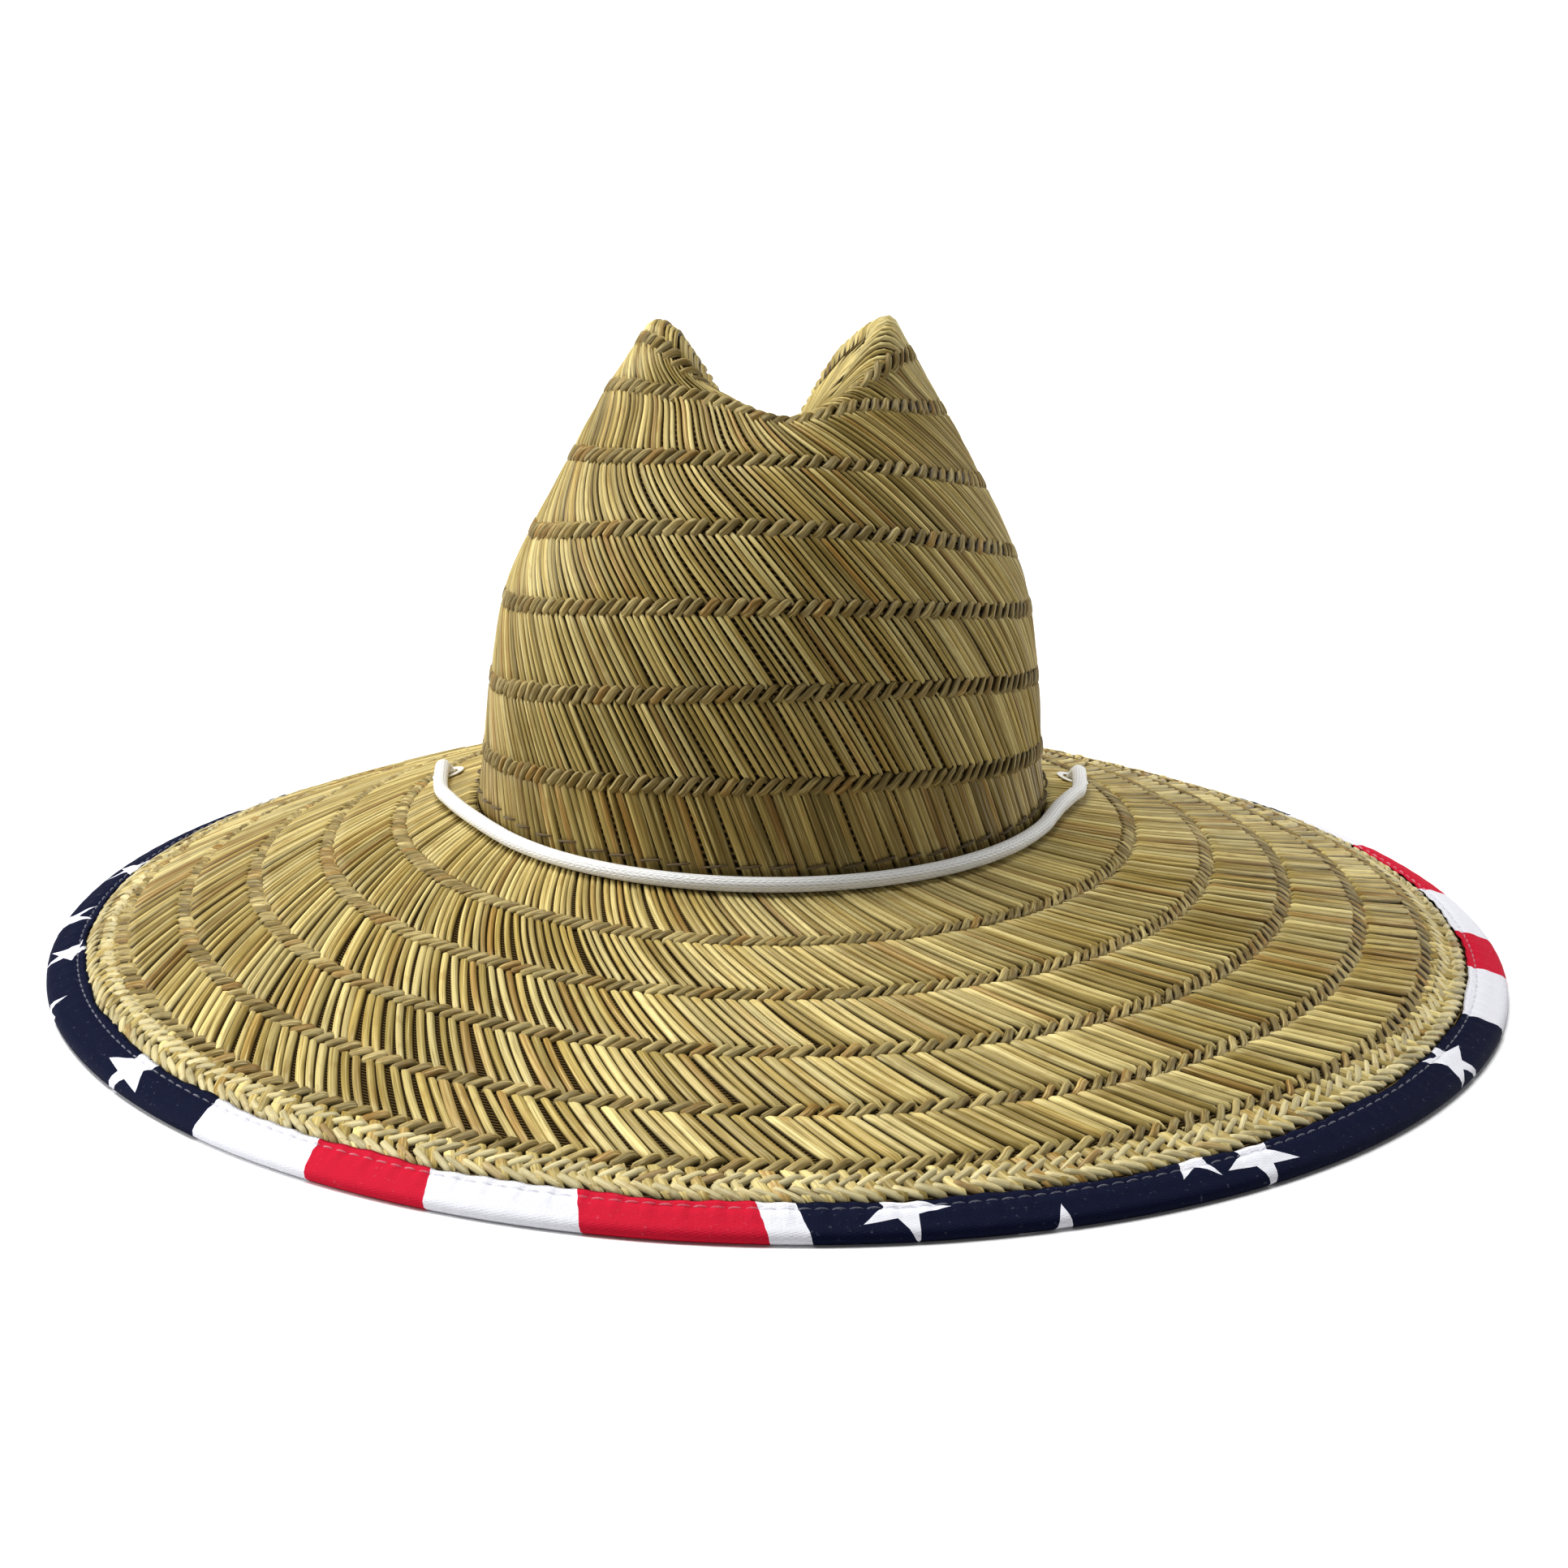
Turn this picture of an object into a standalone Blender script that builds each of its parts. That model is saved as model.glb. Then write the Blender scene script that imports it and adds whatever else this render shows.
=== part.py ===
"""Woven straw sun hat with a wide brim, a pinched crown and a chin cord.

Metres, +Z up.  The hat stands on its brim edge: z = 0 is the surface under it,
the origin is under the middle of the brim and the front of the hat faces -Y.
"""
import math

import bmesh
import bpy
import numpy as np
from mathutils import Vector

# ---------------------------------------------------------------- sizes
BRIM_HALF_WIDTH = 0.224       # middle of the hat to the brim's outer edge, sideways
BRIM_HALF_LENGTH = 0.248      # the same, to the front and to the back
BRIM_DROP = 0.048             # crown seam down to the brim's edge
BRIM_CURL = 0.15              # 0 is a straight cone, more turns the edge down
WEAVE = 0.0018                # thickness of the woven straw wall

CROWN_HALF_WIDTH = 0.087      # outside of the crown at the seam
CROWN_HALF_LENGTH = 0.098
CROWN_RISE = 0.150            # seam up to the two peaks
CROWN_SHIFT = -0.0044         # the crown sits a little to the left of the brim
CROWN_LEAN = 0.017            # and leans back to the right going up
ROW_SKEW = 0.24               # upper rows run this many levels lower on the right side

GAP = 0.0004                  # air between pieces that touch
SEAT = 0.0009                 # air under trim that lies on the faceted weave

TWINE_WIDTH = 0.0042          # one row of twining across the straws
TWINE_HEIGHT = 0.0013
BRAID_WIDTH = 0.0056          # the pale plait inside the cloth edge
BRAID_HEIGHT = 0.0016
BRIM_ROWS = (0.190, 0.357, 0.527, 0.693, 0.836)   # share of the way to the edge
BRAID_ROW = 0.883

BINDING_WIDTH = 0.0130        # cloth edge, as seen from above
BINDING_WALL = 0.0010
BINDING_NOSE = 0.0020         # how far the folded cloth stands past the straw
BINDING_FOOT = 0.0016         # flat under the fold, which the hat rests on
STITCH_INSET = 0.0022         # stitch line from the inner edge of the cloth
STITCH_THREAD = 0.0007

SWEATBAND_HEIGHT = 0.028
SWEATBAND_WALL = 0.0014
BAND_STITCH_HEIGHT = 0.0075   # stitch line above the seam

EYELET_ANGLES = {-1: 116.0, 1: 102.0}   # degrees from the front, left and right
EYELET_OUT = 0.0170           # eyelet centre from the crown wall
EYELET_LENGTH = 0.0150        # flat oval eyelet, along the cord
EYELET_WIDTH = 0.0104
EYELET_THICK = 0.0006

CORD = 0.0046                 # chin cord diameter
CORD_HOLE = CORD + 0.0020     # slanted hole for it through the brim
CORD_BEND = 0.0100            # radius of its bend down through the hole
CORD_ABOVE = 0.0046           # its middle above the brim where that bend starts
STRAND_SPACING = CORD + 0.0016   # between the two strands in the slider
STRAND_HEIGHT = 0.0072        # strands above the surface in the slider
SLIDER_REST = -0.048          # where the slider lies
SLIDER_WIDTH = 0.0225
SLIDER_DEPTH = 0.0135
SLIDER_LENGTH = 0.0200
SLIDER_BORE = CORD + 0.0008
KNOT_RADIUS = 0.0068
KNOT_LENGTH = 0.0170
STRAND_END = -0.066           # the two strands reach the knot here

SEGMENTS = 40                 # round the hat
CROWN_LEVELS = (0.0, 0.4, 1.0, 1.5, 2.0, 2.5, 3.0, 3.5, 4.0, 4.5, 5.0, 5.5, 6.0,
                6.5, 7.0, 7.5, 8.0, 8.5, 9.0, 10.0)
BRIM_LEVELS = (0.0, 0.16, 0.33, 0.5, 0.67, 0.84, 1.0)


def loop_even(width, front, back, z_front, z_side, z_back):
    """Half of an oval loop, from the front round to the back, in millimetres."""
    points = []
    for degrees in (0, 30, 60, 90, 120, 150, 180):
        c = math.cos(math.radians(degrees))
        s = math.sin(math.radians(degrees))
        length = front if c > 0 else back
        z_end = z_front if c > 0 else z_back
        points.append((width * s, -length * c, z_side + (z_end - z_side) * abs(c) ** 1.25))
    return points


# Loops up the crown, one per row of twining: seam, rows 1 to 7, ridge, dent wall,
# dent floor.  The lower ones are ovals, the upper ones are set by hand because the
# crown is pinched into two peaks with a dent between them.
CROWN_LOOPS = (
    loop_even(87, 98, 98, 0, 0, 0),
    loop_even(84.6, 95, 95, 29.5, 17, 18),
    loop_even(82.6, 93, 92, 56.5, 39, 38),
    loop_even(79.2, 88, 88, 80, 62, 58),
    loop_even(72.8, 77, 82, 100.5, 80, 74),
    loop_even(61.4, 62, 72, 117, 103, 86),
    [(0, -46, 126), (21, -41, 130.5), (39, -25, 129), (50, 2, 124), (44, 32, 113),
     (26, 54, 99), (0, 60, 93)],
    [(0, -37, 122), (21, -34, 133), (35, -24, 142), (40.5, 3, 139), (36, 30, 126),
     (21, 48, 105), (0, 54, 96)],
    [(0, -30, 119), (16, -27, 127.5), (30, -20, 148.5), (33.5, 5, 147), (26, 27, 134),
     (13, 38, 109), (0, 40, 97)],
    [(0, -20, 115), (8, -17, 118), (20, -10, 129), (22.5, 5, 128), (15, 18, 119),
     (8, 25, 104), (0, 27, 99)],
    [(0, -8, 110), (4, -6, 110), (8, -2, 112), (8.5, 5, 111), (7, 11, 107),
     (3.5, 15, 104), (0, 17, 101)],
)
DENT_CENTRE = (0, 5, 106)
STEPS = 12                    # control points round one full loop


# ---------------------------------------------------------------- materials
def make_material(name, color, roughness, metallic=0.0):
    """A plain finish for one kind of piece."""
    material = bpy.data.materials.new(name)
    material.use_nodes = True
    shader = material.node_tree.nodes["Principled BSDF"]
    shader.inputs["Base Color"].default_value = (*color, 1.0)
    shader.inputs["Roughness"].default_value = roughness
    shader.inputs["Metallic"].default_value = metallic
    return material


# ---------------------------------------------------------------- surfaces
def smooth_step(p0, p1, p2, p3, f):
    """A point on the smooth curve through four points, between p1 and p2."""
    return 0.5 * (2 * p1 + (p2 - p0) * f + (2 * p0 - 5 * p1 + 4 * p2 - p3) * f * f
                  + (3 * p1 - p0 - 3 * p2 + p3) * f ** 3)


def crown_table():
    """All control loops as full rings, in metres, scaled to the crown's size."""
    scale = np.array((CROWN_HALF_WIDTH / 87, CROWN_HALF_LENGTH / 98, CROWN_RISE / 150))
    rings = []
    for half in CROWN_LOOPS:
        right = np.array(half, float)
        left = right[5:0:-1] * np.array((-1.0, 1.0, 1.0))
        rings.append(np.concatenate((right, left)) * scale)
    centre = np.array(DENT_CENTRE, float) * scale
    rings.append(np.tile(centre, (STEPS, 1)))
    return rings


RINGS = crown_table()


def azimuths():
    """Angles round the hat, 0 at the front, growing towards the right side."""
    return np.arange(SEGMENTS) * 2.0 * math.pi / SEGMENTS


def crown_point(level, angle):
    """A point of the crown at one level, 0 the seam and 11 the dent's centre."""
    part = min(max((level - 2.0) / 2.0, 0.0), 1.0) * min(max((9.0 - level) / 1.5, 0.0), 1.0)
    level = level - ROW_SKEW * part * math.sin(angle)
    i = min(int(level), len(RINGS) - 2)
    below = RINGS[i - 1] if i > 0 else 2 * RINGS[0] - RINGS[1]
    above = RINGS[i + 2] if i + 2 < len(RINGS) else np.roll(RINGS[i], STEPS // 2, axis=0)
    control = smooth_step(below, RINGS[i], RINGS[i + 1], above, level - i)
    u = angle / (2 * math.pi) * STEPS
    k = int(u)
    point = smooth_step(control[(k - 1) % STEPS], control[k % STEPS],
                        control[(k + 1) % STEPS], control[(k + 2) % STEPS], u - k)
    return point + np.array((CROWN_SHIFT + CROWN_LEAN * max(point[2], 0.0), 0.0, 0.0))


def crown_ring(level):
    """Points round the crown at one level."""
    return np.array([crown_point(level, angle) for angle in azimuths()])


def brim_ring(share):
    """Points round the top of the brim, 0 at the seam and 1 at the straw's edge."""
    inner = crown_ring(0.0)
    angle = azimuths()
    edge_x = (BRIM_HALF_WIDTH - BINDING_NOSE) * np.sin(angle)
    edge_y = -(BRIM_HALF_LENGTH - BINDING_NOSE) * np.cos(angle)
    fall = (1 - BRIM_CURL) * share + BRIM_CURL * share * share
    ring = np.empty((SEGMENTS, 3))
    ring[:, 0] = inner[:, 0] + (edge_x - inner[:, 0]) * share
    ring[:, 1] = inner[:, 1] + (edge_y - inner[:, 1]) * share
    ring[:, 2] = -BRIM_DROP * fall
    return ring


def unit(vectors):
    """The same vectors with length one."""
    return vectors / np.linalg.norm(vectors, axis=-1, keepdims=True)


def grid_normals(grid):
    """Outward normals of a grid of rings that runs from the bottom or inside on."""
    around = np.roll(grid, -1, axis=1) - np.roll(grid, 1, axis=1)
    along = np.gradient(grid, axis=0)
    return unit(np.cross(around, along))


def brim_normals(grid):
    """Upward normals of the brim's rings."""
    normals = grid_normals(grid)
    return np.where(normals[..., 2:3] < 0, -normals, normals)


CROWN = np.array([crown_ring(level) for level in CROWN_LEVELS])
CROWN_N = grid_normals(CROWN)
BRIM = np.array([brim_ring(share) for share in BRIM_LEVELS])
BRIM_N = brim_normals(BRIM)


def on_grid(grid, normals, levels, level, lift):
    """A ring on the faceted surface at a level, lifted off it."""
    k = int(np.clip(np.searchsorted(levels, level) - 1, 0, len(levels) - 2))
    f = (level - levels[k]) / (levels[k + 1] - levels[k])
    base = grid[k] * (1 - f) + grid[k + 1] * f
    normal = unit(normals[k] * (1 - f) + normals[k + 1] * f)
    return base + normal * lift


def on_crown(level, lift):
    """A ring on the crown."""
    return on_grid(CROWN, CROWN_N, CROWN_LEVELS, level, lift)


def on_brim(share, lift):
    """A ring on the brim."""
    return on_grid(BRIM, BRIM_N, BRIM_LEVELS, share, lift)


def crown_at_height(height, lift):
    """A ring on the crown at one height above the seam."""
    points = np.empty((SEGMENTS, 3))
    for i in range(SEGMENTS):
        z = CROWN[:, i, 2]
        k = int(np.argmax(z > height)) - 1
        f = (height - z[k]) / (z[k + 1] - z[k])
        normal = unit(CROWN_N[k, i] * (1 - f) + CROWN_N[k + 1, i] * f)
        points[i] = CROWN[k, i] * (1 - f) + CROWN[k + 1, i] * f + normal * lift
    return points


def edge_frame():
    """The straw's edge, with the directions out along the brim and up off it."""
    edge = BRIM[-1]
    out = unit(BRIM[-1] - BRIM[-2])
    up = BRIM_N[-1] - out * np.sum(BRIM_N[-1] * out, axis=1, keepdims=True)
    return edge, out, unit(up)


def lift_off_floor():
    """How far the seam is above the surface that the cloth edge rests on."""
    edge, out, up = edge_frame()
    lowest = edge + up * (-WEAVE - GAP - BINDING_WALL)
    return -lowest[:, 2].min()


SEAM_Z = lift_off_floor()


# ---------------------------------------------------------------- mesh helpers
def add_object(name, mesh, material):
    """Put a mesh into the scene as a named piece."""
    piece = bpy.data.objects.new(name, mesh)
    mesh.materials.append(material)
    bpy.context.scene.collection.objects.link(piece)
    return piece


def finish_mesh(bm, name):
    """Turn a bmesh into a smooth-shaded mesh with its faces pointing out."""
    bmesh.ops.recalc_face_normals(bm, faces=bm.faces)
    mesh = bpy.data.meshes.new(name)
    bm.to_mesh(mesh)
    bm.free()
    mesh.shade_smooth()
    mesh.set_sharp_from_angle(angle=math.radians(40))
    return mesh


def loft(name, rings, material, join_ends, raise_by=None):
    """A body from rings of points: a closed tube, or a shell with two poles."""
    raise_by = SEAM_Z if raise_by is None else raise_by
    bm = bmesh.new()
    rows = []
    for ring in rings:
        rows.append([bm.verts.new((p[0], p[1], p[2] + raise_by)) for p in ring])
    count = len(rows[0])
    pairs = list(zip(rows[:-1], rows[1:]))
    if join_ends:
        pairs.append((rows[-1], rows[0]))
    else:
        for row in (rows[0], rows[-1]):
            middle = sum((v.co for v in row), Vector()) / len(row)
            tip = bm.verts.new(middle)
            for i in range(count):
                bm.faces.new((row[i], row[(i + 1) % count], tip))
    for low, high in pairs:
        for i in range(count):
            j = (i + 1) % count
            bm.faces.new((low[i], low[j], high[j], high[i]))
    return add_object(name, finish_mesh(bm, name), material)


def cut(piece, cutter):
    """Cut one piece with another, which stays as a wire guide."""
    cutter.hide_render = True
    cutter.display_type = "WIRE"
    modifier = piece.modifiers.new("cut_" + cutter.name, "BOOLEAN")
    modifier.operation = "DIFFERENCE"
    modifier.solver = "EXACT"
    modifier.object = cutter


# ---------------------------------------------------------------- woven walls
def build_crown(material):
    """The woven crown: one wall with two peaks and the dent between them."""
    outer = [ring.copy() for ring in CROWN]
    inner = [ring - normal * WEAVE for ring, normal in zip(CROWN, CROWN_N)]
    outer[0][:, 2] = GAP
    inner[0][:, 2] = GAP
    return loft("woven_crown", list(reversed(inner)) + outer, material, False)


def build_brim(material):
    """The woven brim, from under the crown wall to the edge inside the cloth."""
    top = [ring.copy() for ring in BRIM]
    bottom = [ring - normal * WEAVE for ring, normal in zip(BRIM, BRIM_N)]
    ledge = CROWN[0] - unit(CROWN_N[0] * np.array((1.0, 1.0, 0.0))) * WEAVE
    ledge_low = ledge.copy()
    ledge_low[:, 2] -= WEAVE
    rings = [ledge] + top + list(reversed(bottom)) + [ledge_low]
    return loft("woven_brim", rings, material, True)


def band_on(place, level, half, height, seat):
    """Four rings of a low band across a row of straws, its top a little narrower."""
    return [place(level - half, seat), place(level - half * 0.6, seat + height),
            place(level + half * 0.6, seat + height), place(level + half, seat)]


def build_crown_rows(material):
    """The seven rows of twining that bind the crown's straws."""
    rows = []
    for row in range(1, 8):
        below = CROWN_LEVELS.index(float(row)) - 1
        step = CROWN[below + 1] - CROWN[below]
        length = float(np.mean(np.linalg.norm(step, axis=1)))
        share = CROWN_LEVELS[below + 1] - CROWN_LEVELS[below]
        half = TWINE_WIDTH / 2 * share / length
        seat = SEAT + (TWINE_WIDTH * 0.06 if row > 5 else 0.0)   # the bent top needs more air
        rings = band_on(on_crown, float(row), half, TWINE_HEIGHT, seat)
        rows.append(loft("crown_twine_row_%d" % row, rings, material, True))
    return rows


def brim_slant():
    """Mean length of the brim from the seam to its edge."""
    return float(np.mean(np.linalg.norm(BRIM[-1] - BRIM[0], axis=1)))


def build_brim_rows(material):
    """The five rows of twining on the brim."""
    half = TWINE_WIDTH / 2 / brim_slant()
    for number, share in enumerate(BRIM_ROWS, start=1):
        rings = band_on(on_brim, share, half, TWINE_HEIGHT, SEAT)
        loft("brim_twine_row_%d" % number, rings, material, True)


def build_braid(material):
    """The pale plait between the last row and the cloth edge."""
    half = BRAID_WIDTH / 2 / brim_slant()
    rings = band_on(on_brim, BRAID_ROW, half, BRAID_HEIGHT, SEAT)
    return loft("edge_braid", rings, material, True)


# ---------------------------------------------------------------- cloth and thread
def build_binding(material):
    """The printed cloth folded over the brim's edge."""
    edge, out, up = edge_frame()
    under = -WEAVE - GAP
    wall = BINDING_WALL
    back = BINDING_NOSE - BINDING_WIDTH
    section = ((back, GAP), (back, GAP + wall), (0.0, GAP + wall),
               (BINDING_NOSE, -WEAVE / 2), (0.0, under - wall), (-BINDING_FOOT, under - wall),
               (back, under - wall), (back, under), (GAP, under), (GAP, GAP))
    rings = [edge + out * u + up * w for u, w in section]
    rings[4][:, 2] = -SEAM_Z
    rings[5][:, 2] = -SEAM_Z
    return loft("edge_binding", rings, material, True)


def build_binding_stitching(material):
    """The line of stitches that holds the cloth edge."""
    edge, out, up = edge_frame()
    middle = BINDING_NOSE - BINDING_WIDTH + STITCH_INSET
    low = GAP + BINDING_WALL + GAP
    half = STITCH_THREAD / 2
    section = ((middle - half, low), (middle - half, low + STITCH_THREAD),
               (middle + half, low + STITCH_THREAD), (middle + half, low))
    rings = [edge + out * u + up * w for u, w in section]
    return loft("binding_stitching", rings, material, True)


def build_sweatband(material):
    """The cloth band inside the crown's lower edge."""
    outer_lift = -WEAVE - GAP
    inner_lift = outer_lift - SWEATBAND_WALL
    heights = (0.002, 0.010, 0.019, SWEATBAND_HEIGHT)
    outer = [crown_at_height(h, outer_lift) for h in heights]
    inner = [crown_at_height(h, inner_lift) for h in heights]
    foot_outer = outer[0].copy()
    foot_outer[:, 2] = -WEAVE
    foot_inner = inner[0].copy()
    foot_inner[:, 2] = -WEAVE
    rings = [foot_outer] + outer + list(reversed(inner)) + [foot_inner]
    return loft("sweatband", rings, material, True)


def build_band_stitching(material):
    """The thread that sews the sweatband, seen outside the crown above the seam."""
    low = BAND_STITCH_HEIGHT - STITCH_THREAD / 2
    high = BAND_STITCH_HEIGHT + STITCH_THREAD / 2
    rings = [crown_at_height(low, SEAT), crown_at_height(low, SEAT + STITCH_THREAD),
             crown_at_height(high, SEAT + STITCH_THREAD), crown_at_height(high, SEAT)]
    return loft("sweatband_stitching", rings, material, True)


# ---------------------------------------------------------------- eyelets and cord
def wall_point(degrees, out, lift):
    """A point beside the crown wall: out from the wall and lifted off the brim."""
    angle = math.radians(degrees)
    x = CROWN_HALF_WIDTH * math.sin(angle)
    y = -CROWN_HALF_LENGTH * math.cos(angle)
    away = Vector((x / CROWN_HALF_WIDTH ** 2, y / CROWN_HALF_LENGTH ** 2, 0.0)).normalized()
    radius = Vector((x, y, 0.0)).length
    reach = Vector((BRIM_HALF_WIDTH * math.sin(angle), -BRIM_HALF_LENGTH * math.cos(angle)))
    slope = BRIM_DROP * (1 - BRIM_CURL) / (reach.length - radius)
    spot = Vector((x + CROWN_SHIFT, y, SEAM_Z)) + away * out
    spot.z -= slope * out
    up = (Vector((0, 0, 1)) + away * slope).normalized()
    return spot + up * lift, up


def cord_hole(side):
    """Where the cord goes through the brim: the spot, its way back and the normal."""
    angle = EYELET_ANGLES[side]
    hole, up = wall_point(side * angle, EYELET_OUT, 0.0)
    before = wall_point(side * (angle - 12.0), EYELET_OUT - 0.0035, 0.0)[0]
    back = hole - before
    back = (back - up * back.dot(up)).normalized()
    return hole, back, up


def bend_point(side, degrees):
    """A point on the cord's bend down through the brim, by how far it has turned."""
    hole, back, up = cord_hole(side)
    turned = math.acos(1.0 - CORD_ABOVE / CORD_BEND)
    start = hole - back * (CORD_BEND * math.sin(turned)) + up * CORD_ABOVE
    angle = math.radians(degrees)
    return start + back * (CORD_BEND * math.sin(angle)) - up * (CORD_BEND * (1 - math.cos(angle)))


def build_eyelet(name, side, material, brim):
    """A flat oval eyelet on the brim, and the slanted hole for the cord."""
    hole, back, up = cord_hole(side)
    across = up.cross(back).normalized()
    bm = bmesh.new()
    bmesh.ops.create_cone(bm, cap_ends=True, segments=28, radius1=1.0, radius2=1.0, depth=1.0)
    bmesh.ops.scale(bm, vec=(EYELET_LENGTH / 2, EYELET_WIDTH / 2, EYELET_THICK), verts=bm.verts)
    rim = [edge for edge in bm.edges if all(v.co.z > 0 for v in edge.verts)]
    bmesh.ops.bevel(bm, geom=rim, offset=EYELET_THICK * 0.4, segments=1, profile=0.5,
                    affect="EDGES", material=-1)
    middle = hole + up * (SEAT + EYELET_THICK / 2) - back * 0.0006
    for vert in bm.verts:
        place = back * vert.co.x + across * vert.co.y + up * vert.co.z
        vert.co = middle + place
    eyelet = add_object(name, finish_mesh(bm, name), material)
    slant = (bend_point(side, 62) - bend_point(side, 26)).normalized()
    bm = bmesh.new()
    bmesh.ops.create_cone(bm, cap_ends=True, segments=20, radius1=CORD_HOLE / 2,
                          radius2=CORD_HOLE / 2, depth=0.018)
    cutter = add_object("hole_" + name, finish_mesh(bm, "hole_" + name), material)
    cutter.location = (bend_point(side, 62) + bend_point(side, 26)) / 2
    cutter.rotation_euler = slant.to_track_quat("Z", "Y").to_euler()
    cut(brim, cutter)
    cut(eyelet, cutter)
    return eyelet


def cord_half(side):
    """Route of one half of the cord, from the middle of the front to the knot."""
    beside = CORD / 2 + 0.0008
    points = []
    for degrees in (0, 10, 20, 30, 40, 50, 60, 68):
        points.append(wall_point(side * degrees, beside, beside)[0])
    last = EYELET_ANGLES[side] - 9.0
    for share, out in ((0.18, 0.0006), (0.38, 0.0022), (0.58, 0.0046), (0.80, 0.0080)):
        degrees = 68.0 + (last - 68.0) * share
        points.append(wall_point(side * degrees, beside + out, beside + 0.0006 * share)[0])
    for degrees in (0, 20, 40, 60, 80):
        points.append(bend_point(side, degrees))
    low = bend_point(side, 90) + (bend_point(side, 90) - bend_point(side, 80)).normalized() * 0.004
    points.append(low)
    points.append(Vector((low.x - side * 0.0035, low.y - 0.001, 0.0235)))
    for x, y, z in ((0.0840, 0.037, 0.0125), (0.0765, 0.038, 0.0056), (0.066, 0.041, 0.0030),
                    (0.052, 0.048, 0.0030), (0.039, 0.055, 0.0032), (0.0275, 0.0605, 0.0040),
                    (0.0165, 0.0630, 0.0052), (0.0096, 0.0613, 0.0062), (0.0048, 0.0565, 0.0069)):
        points.append(Vector((side * x, y, z)))
    for y in (0.050, 0.040, 0.025, 0.004, -0.020, -0.046, STRAND_END):
        points.append(Vector((side * STRAND_SPACING / 2, y, STRAND_HEIGHT)))
    return points


def smooth_route(points, end_count):
    """A smooth line through the route: more points where the route's own are close."""
    line = []
    for i in range(len(points) - 1):
        before = points[max(i - 1, 0)]
        after = points[min(i + 2, len(points) - 1)]
        near = (points[i + 1] - points[i]).length
        steps = 2 if near > 0.010 and i < end_count else 1
        for step in range(steps):
            f = step / steps
            point = smooth_step(np.array(before), np.array(points[i]),
                                np.array(points[i + 1]), np.array(after), f)
            line.append(Vector(point))
    line.append(points[-1])
    return line


def build_cord(material):
    """The chin cord: round the front of the crown, down both eyelets, to the knot."""
    right = smooth_route(cord_half(1), 10)
    left = smooth_route(cord_half(-1), 10)
    line = list(reversed(left[1:])) + right
    curve = bpy.data.curves.new("chin_cord", "CURVE")
    curve.dimensions = "3D"
    curve.bevel_depth = CORD / 2
    curve.bevel_resolution = 2
    curve.use_fill_caps = True
    spline = curve.splines.new("POLY")
    spline.points.add(len(line) - 1)
    for target, point in zip(spline.points, line):
        target.co = (*point, 1.0)
    cord = bpy.data.objects.new("chin_cord", curve)
    curve.materials.append(material)
    bpy.context.scene.collection.objects.link(cord)
    return cord


def oval(width, height, count, x=0.0, z=0.0):
    """Points round an oval in the XZ plane."""
    points = []
    for step in range(count):
        angle = step * 2 * math.pi / count
        points.append((x + width / 2 * math.cos(angle), z + height / 2 * math.sin(angle)))
    return points


def build_slider(material):
    """The oval slider bead that runs on both strands, and its two bores."""
    half = SLIDER_LENGTH / 2
    stations = ((-half, 0.72), (-half * 0.8, 0.9), (-half * 0.45, 1.0), (half * 0.45, 1.0),
                (half * 0.8, 0.9), (half, 0.72))
    rings = []
    for y, share in stations:
        rings.append([(x, y, z) for x, z in oval(SLIDER_WIDTH * (0.5 + share / 2),
                                                 SLIDER_DEPTH * (0.3 + share * 0.7), 24)])
    slider = loft("cord_slider", rings, material, False, 0.0)
    slider.location = (0.0, SLIDER_REST, STRAND_HEIGHT)
    for side, label in ((-1, "left"), (1, "right")):
        bm = bmesh.new()
        bmesh.ops.create_cone(bm, cap_ends=True, segments=16, radius1=SLIDER_BORE / 2,
                              radius2=SLIDER_BORE / 2, depth=SLIDER_LENGTH * 2)
        cutter = add_object("slider_bore_" + label, finish_mesh(bm, "bore"), material)
        cutter.location = (side * STRAND_SPACING / 2, SLIDER_REST, STRAND_HEIGHT)
        cutter.rotation_euler = (math.radians(90), 0.0, 0.0)
        cut(slider, cutter)
    return slider


def build_knot(material):
    """The knot that joins the two ends of the cord and stops the slider."""
    bm = bmesh.new()
    bmesh.ops.create_uvsphere(bm, u_segments=20, v_segments=12, radius=1.0)
    bmesh.ops.scale(bm, vec=(KNOT_RADIUS, KNOT_LENGTH / 2, KNOT_RADIUS), verts=bm.verts)
    flat = 0.0003
    bmesh.ops.bisect_plane(bm, geom=bm.verts[:] + bm.edges[:] + bm.faces[:],
                           plane_co=(0, KNOT_LENGTH / 2 - 0.002, 0), plane_no=(0, 1, 0),
                           clear_outer=True)
    bmesh.ops.holes_fill(bm, edges=[e for e in bm.edges if e.is_boundary], sides=0)
    knot = add_object("end_knot", finish_mesh(bm, "end_knot"), material)
    knot.location = (0.0, STRAND_END - KNOT_LENGTH / 2 + 0.002 - flat, STRAND_HEIGHT)
    return knot


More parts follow.
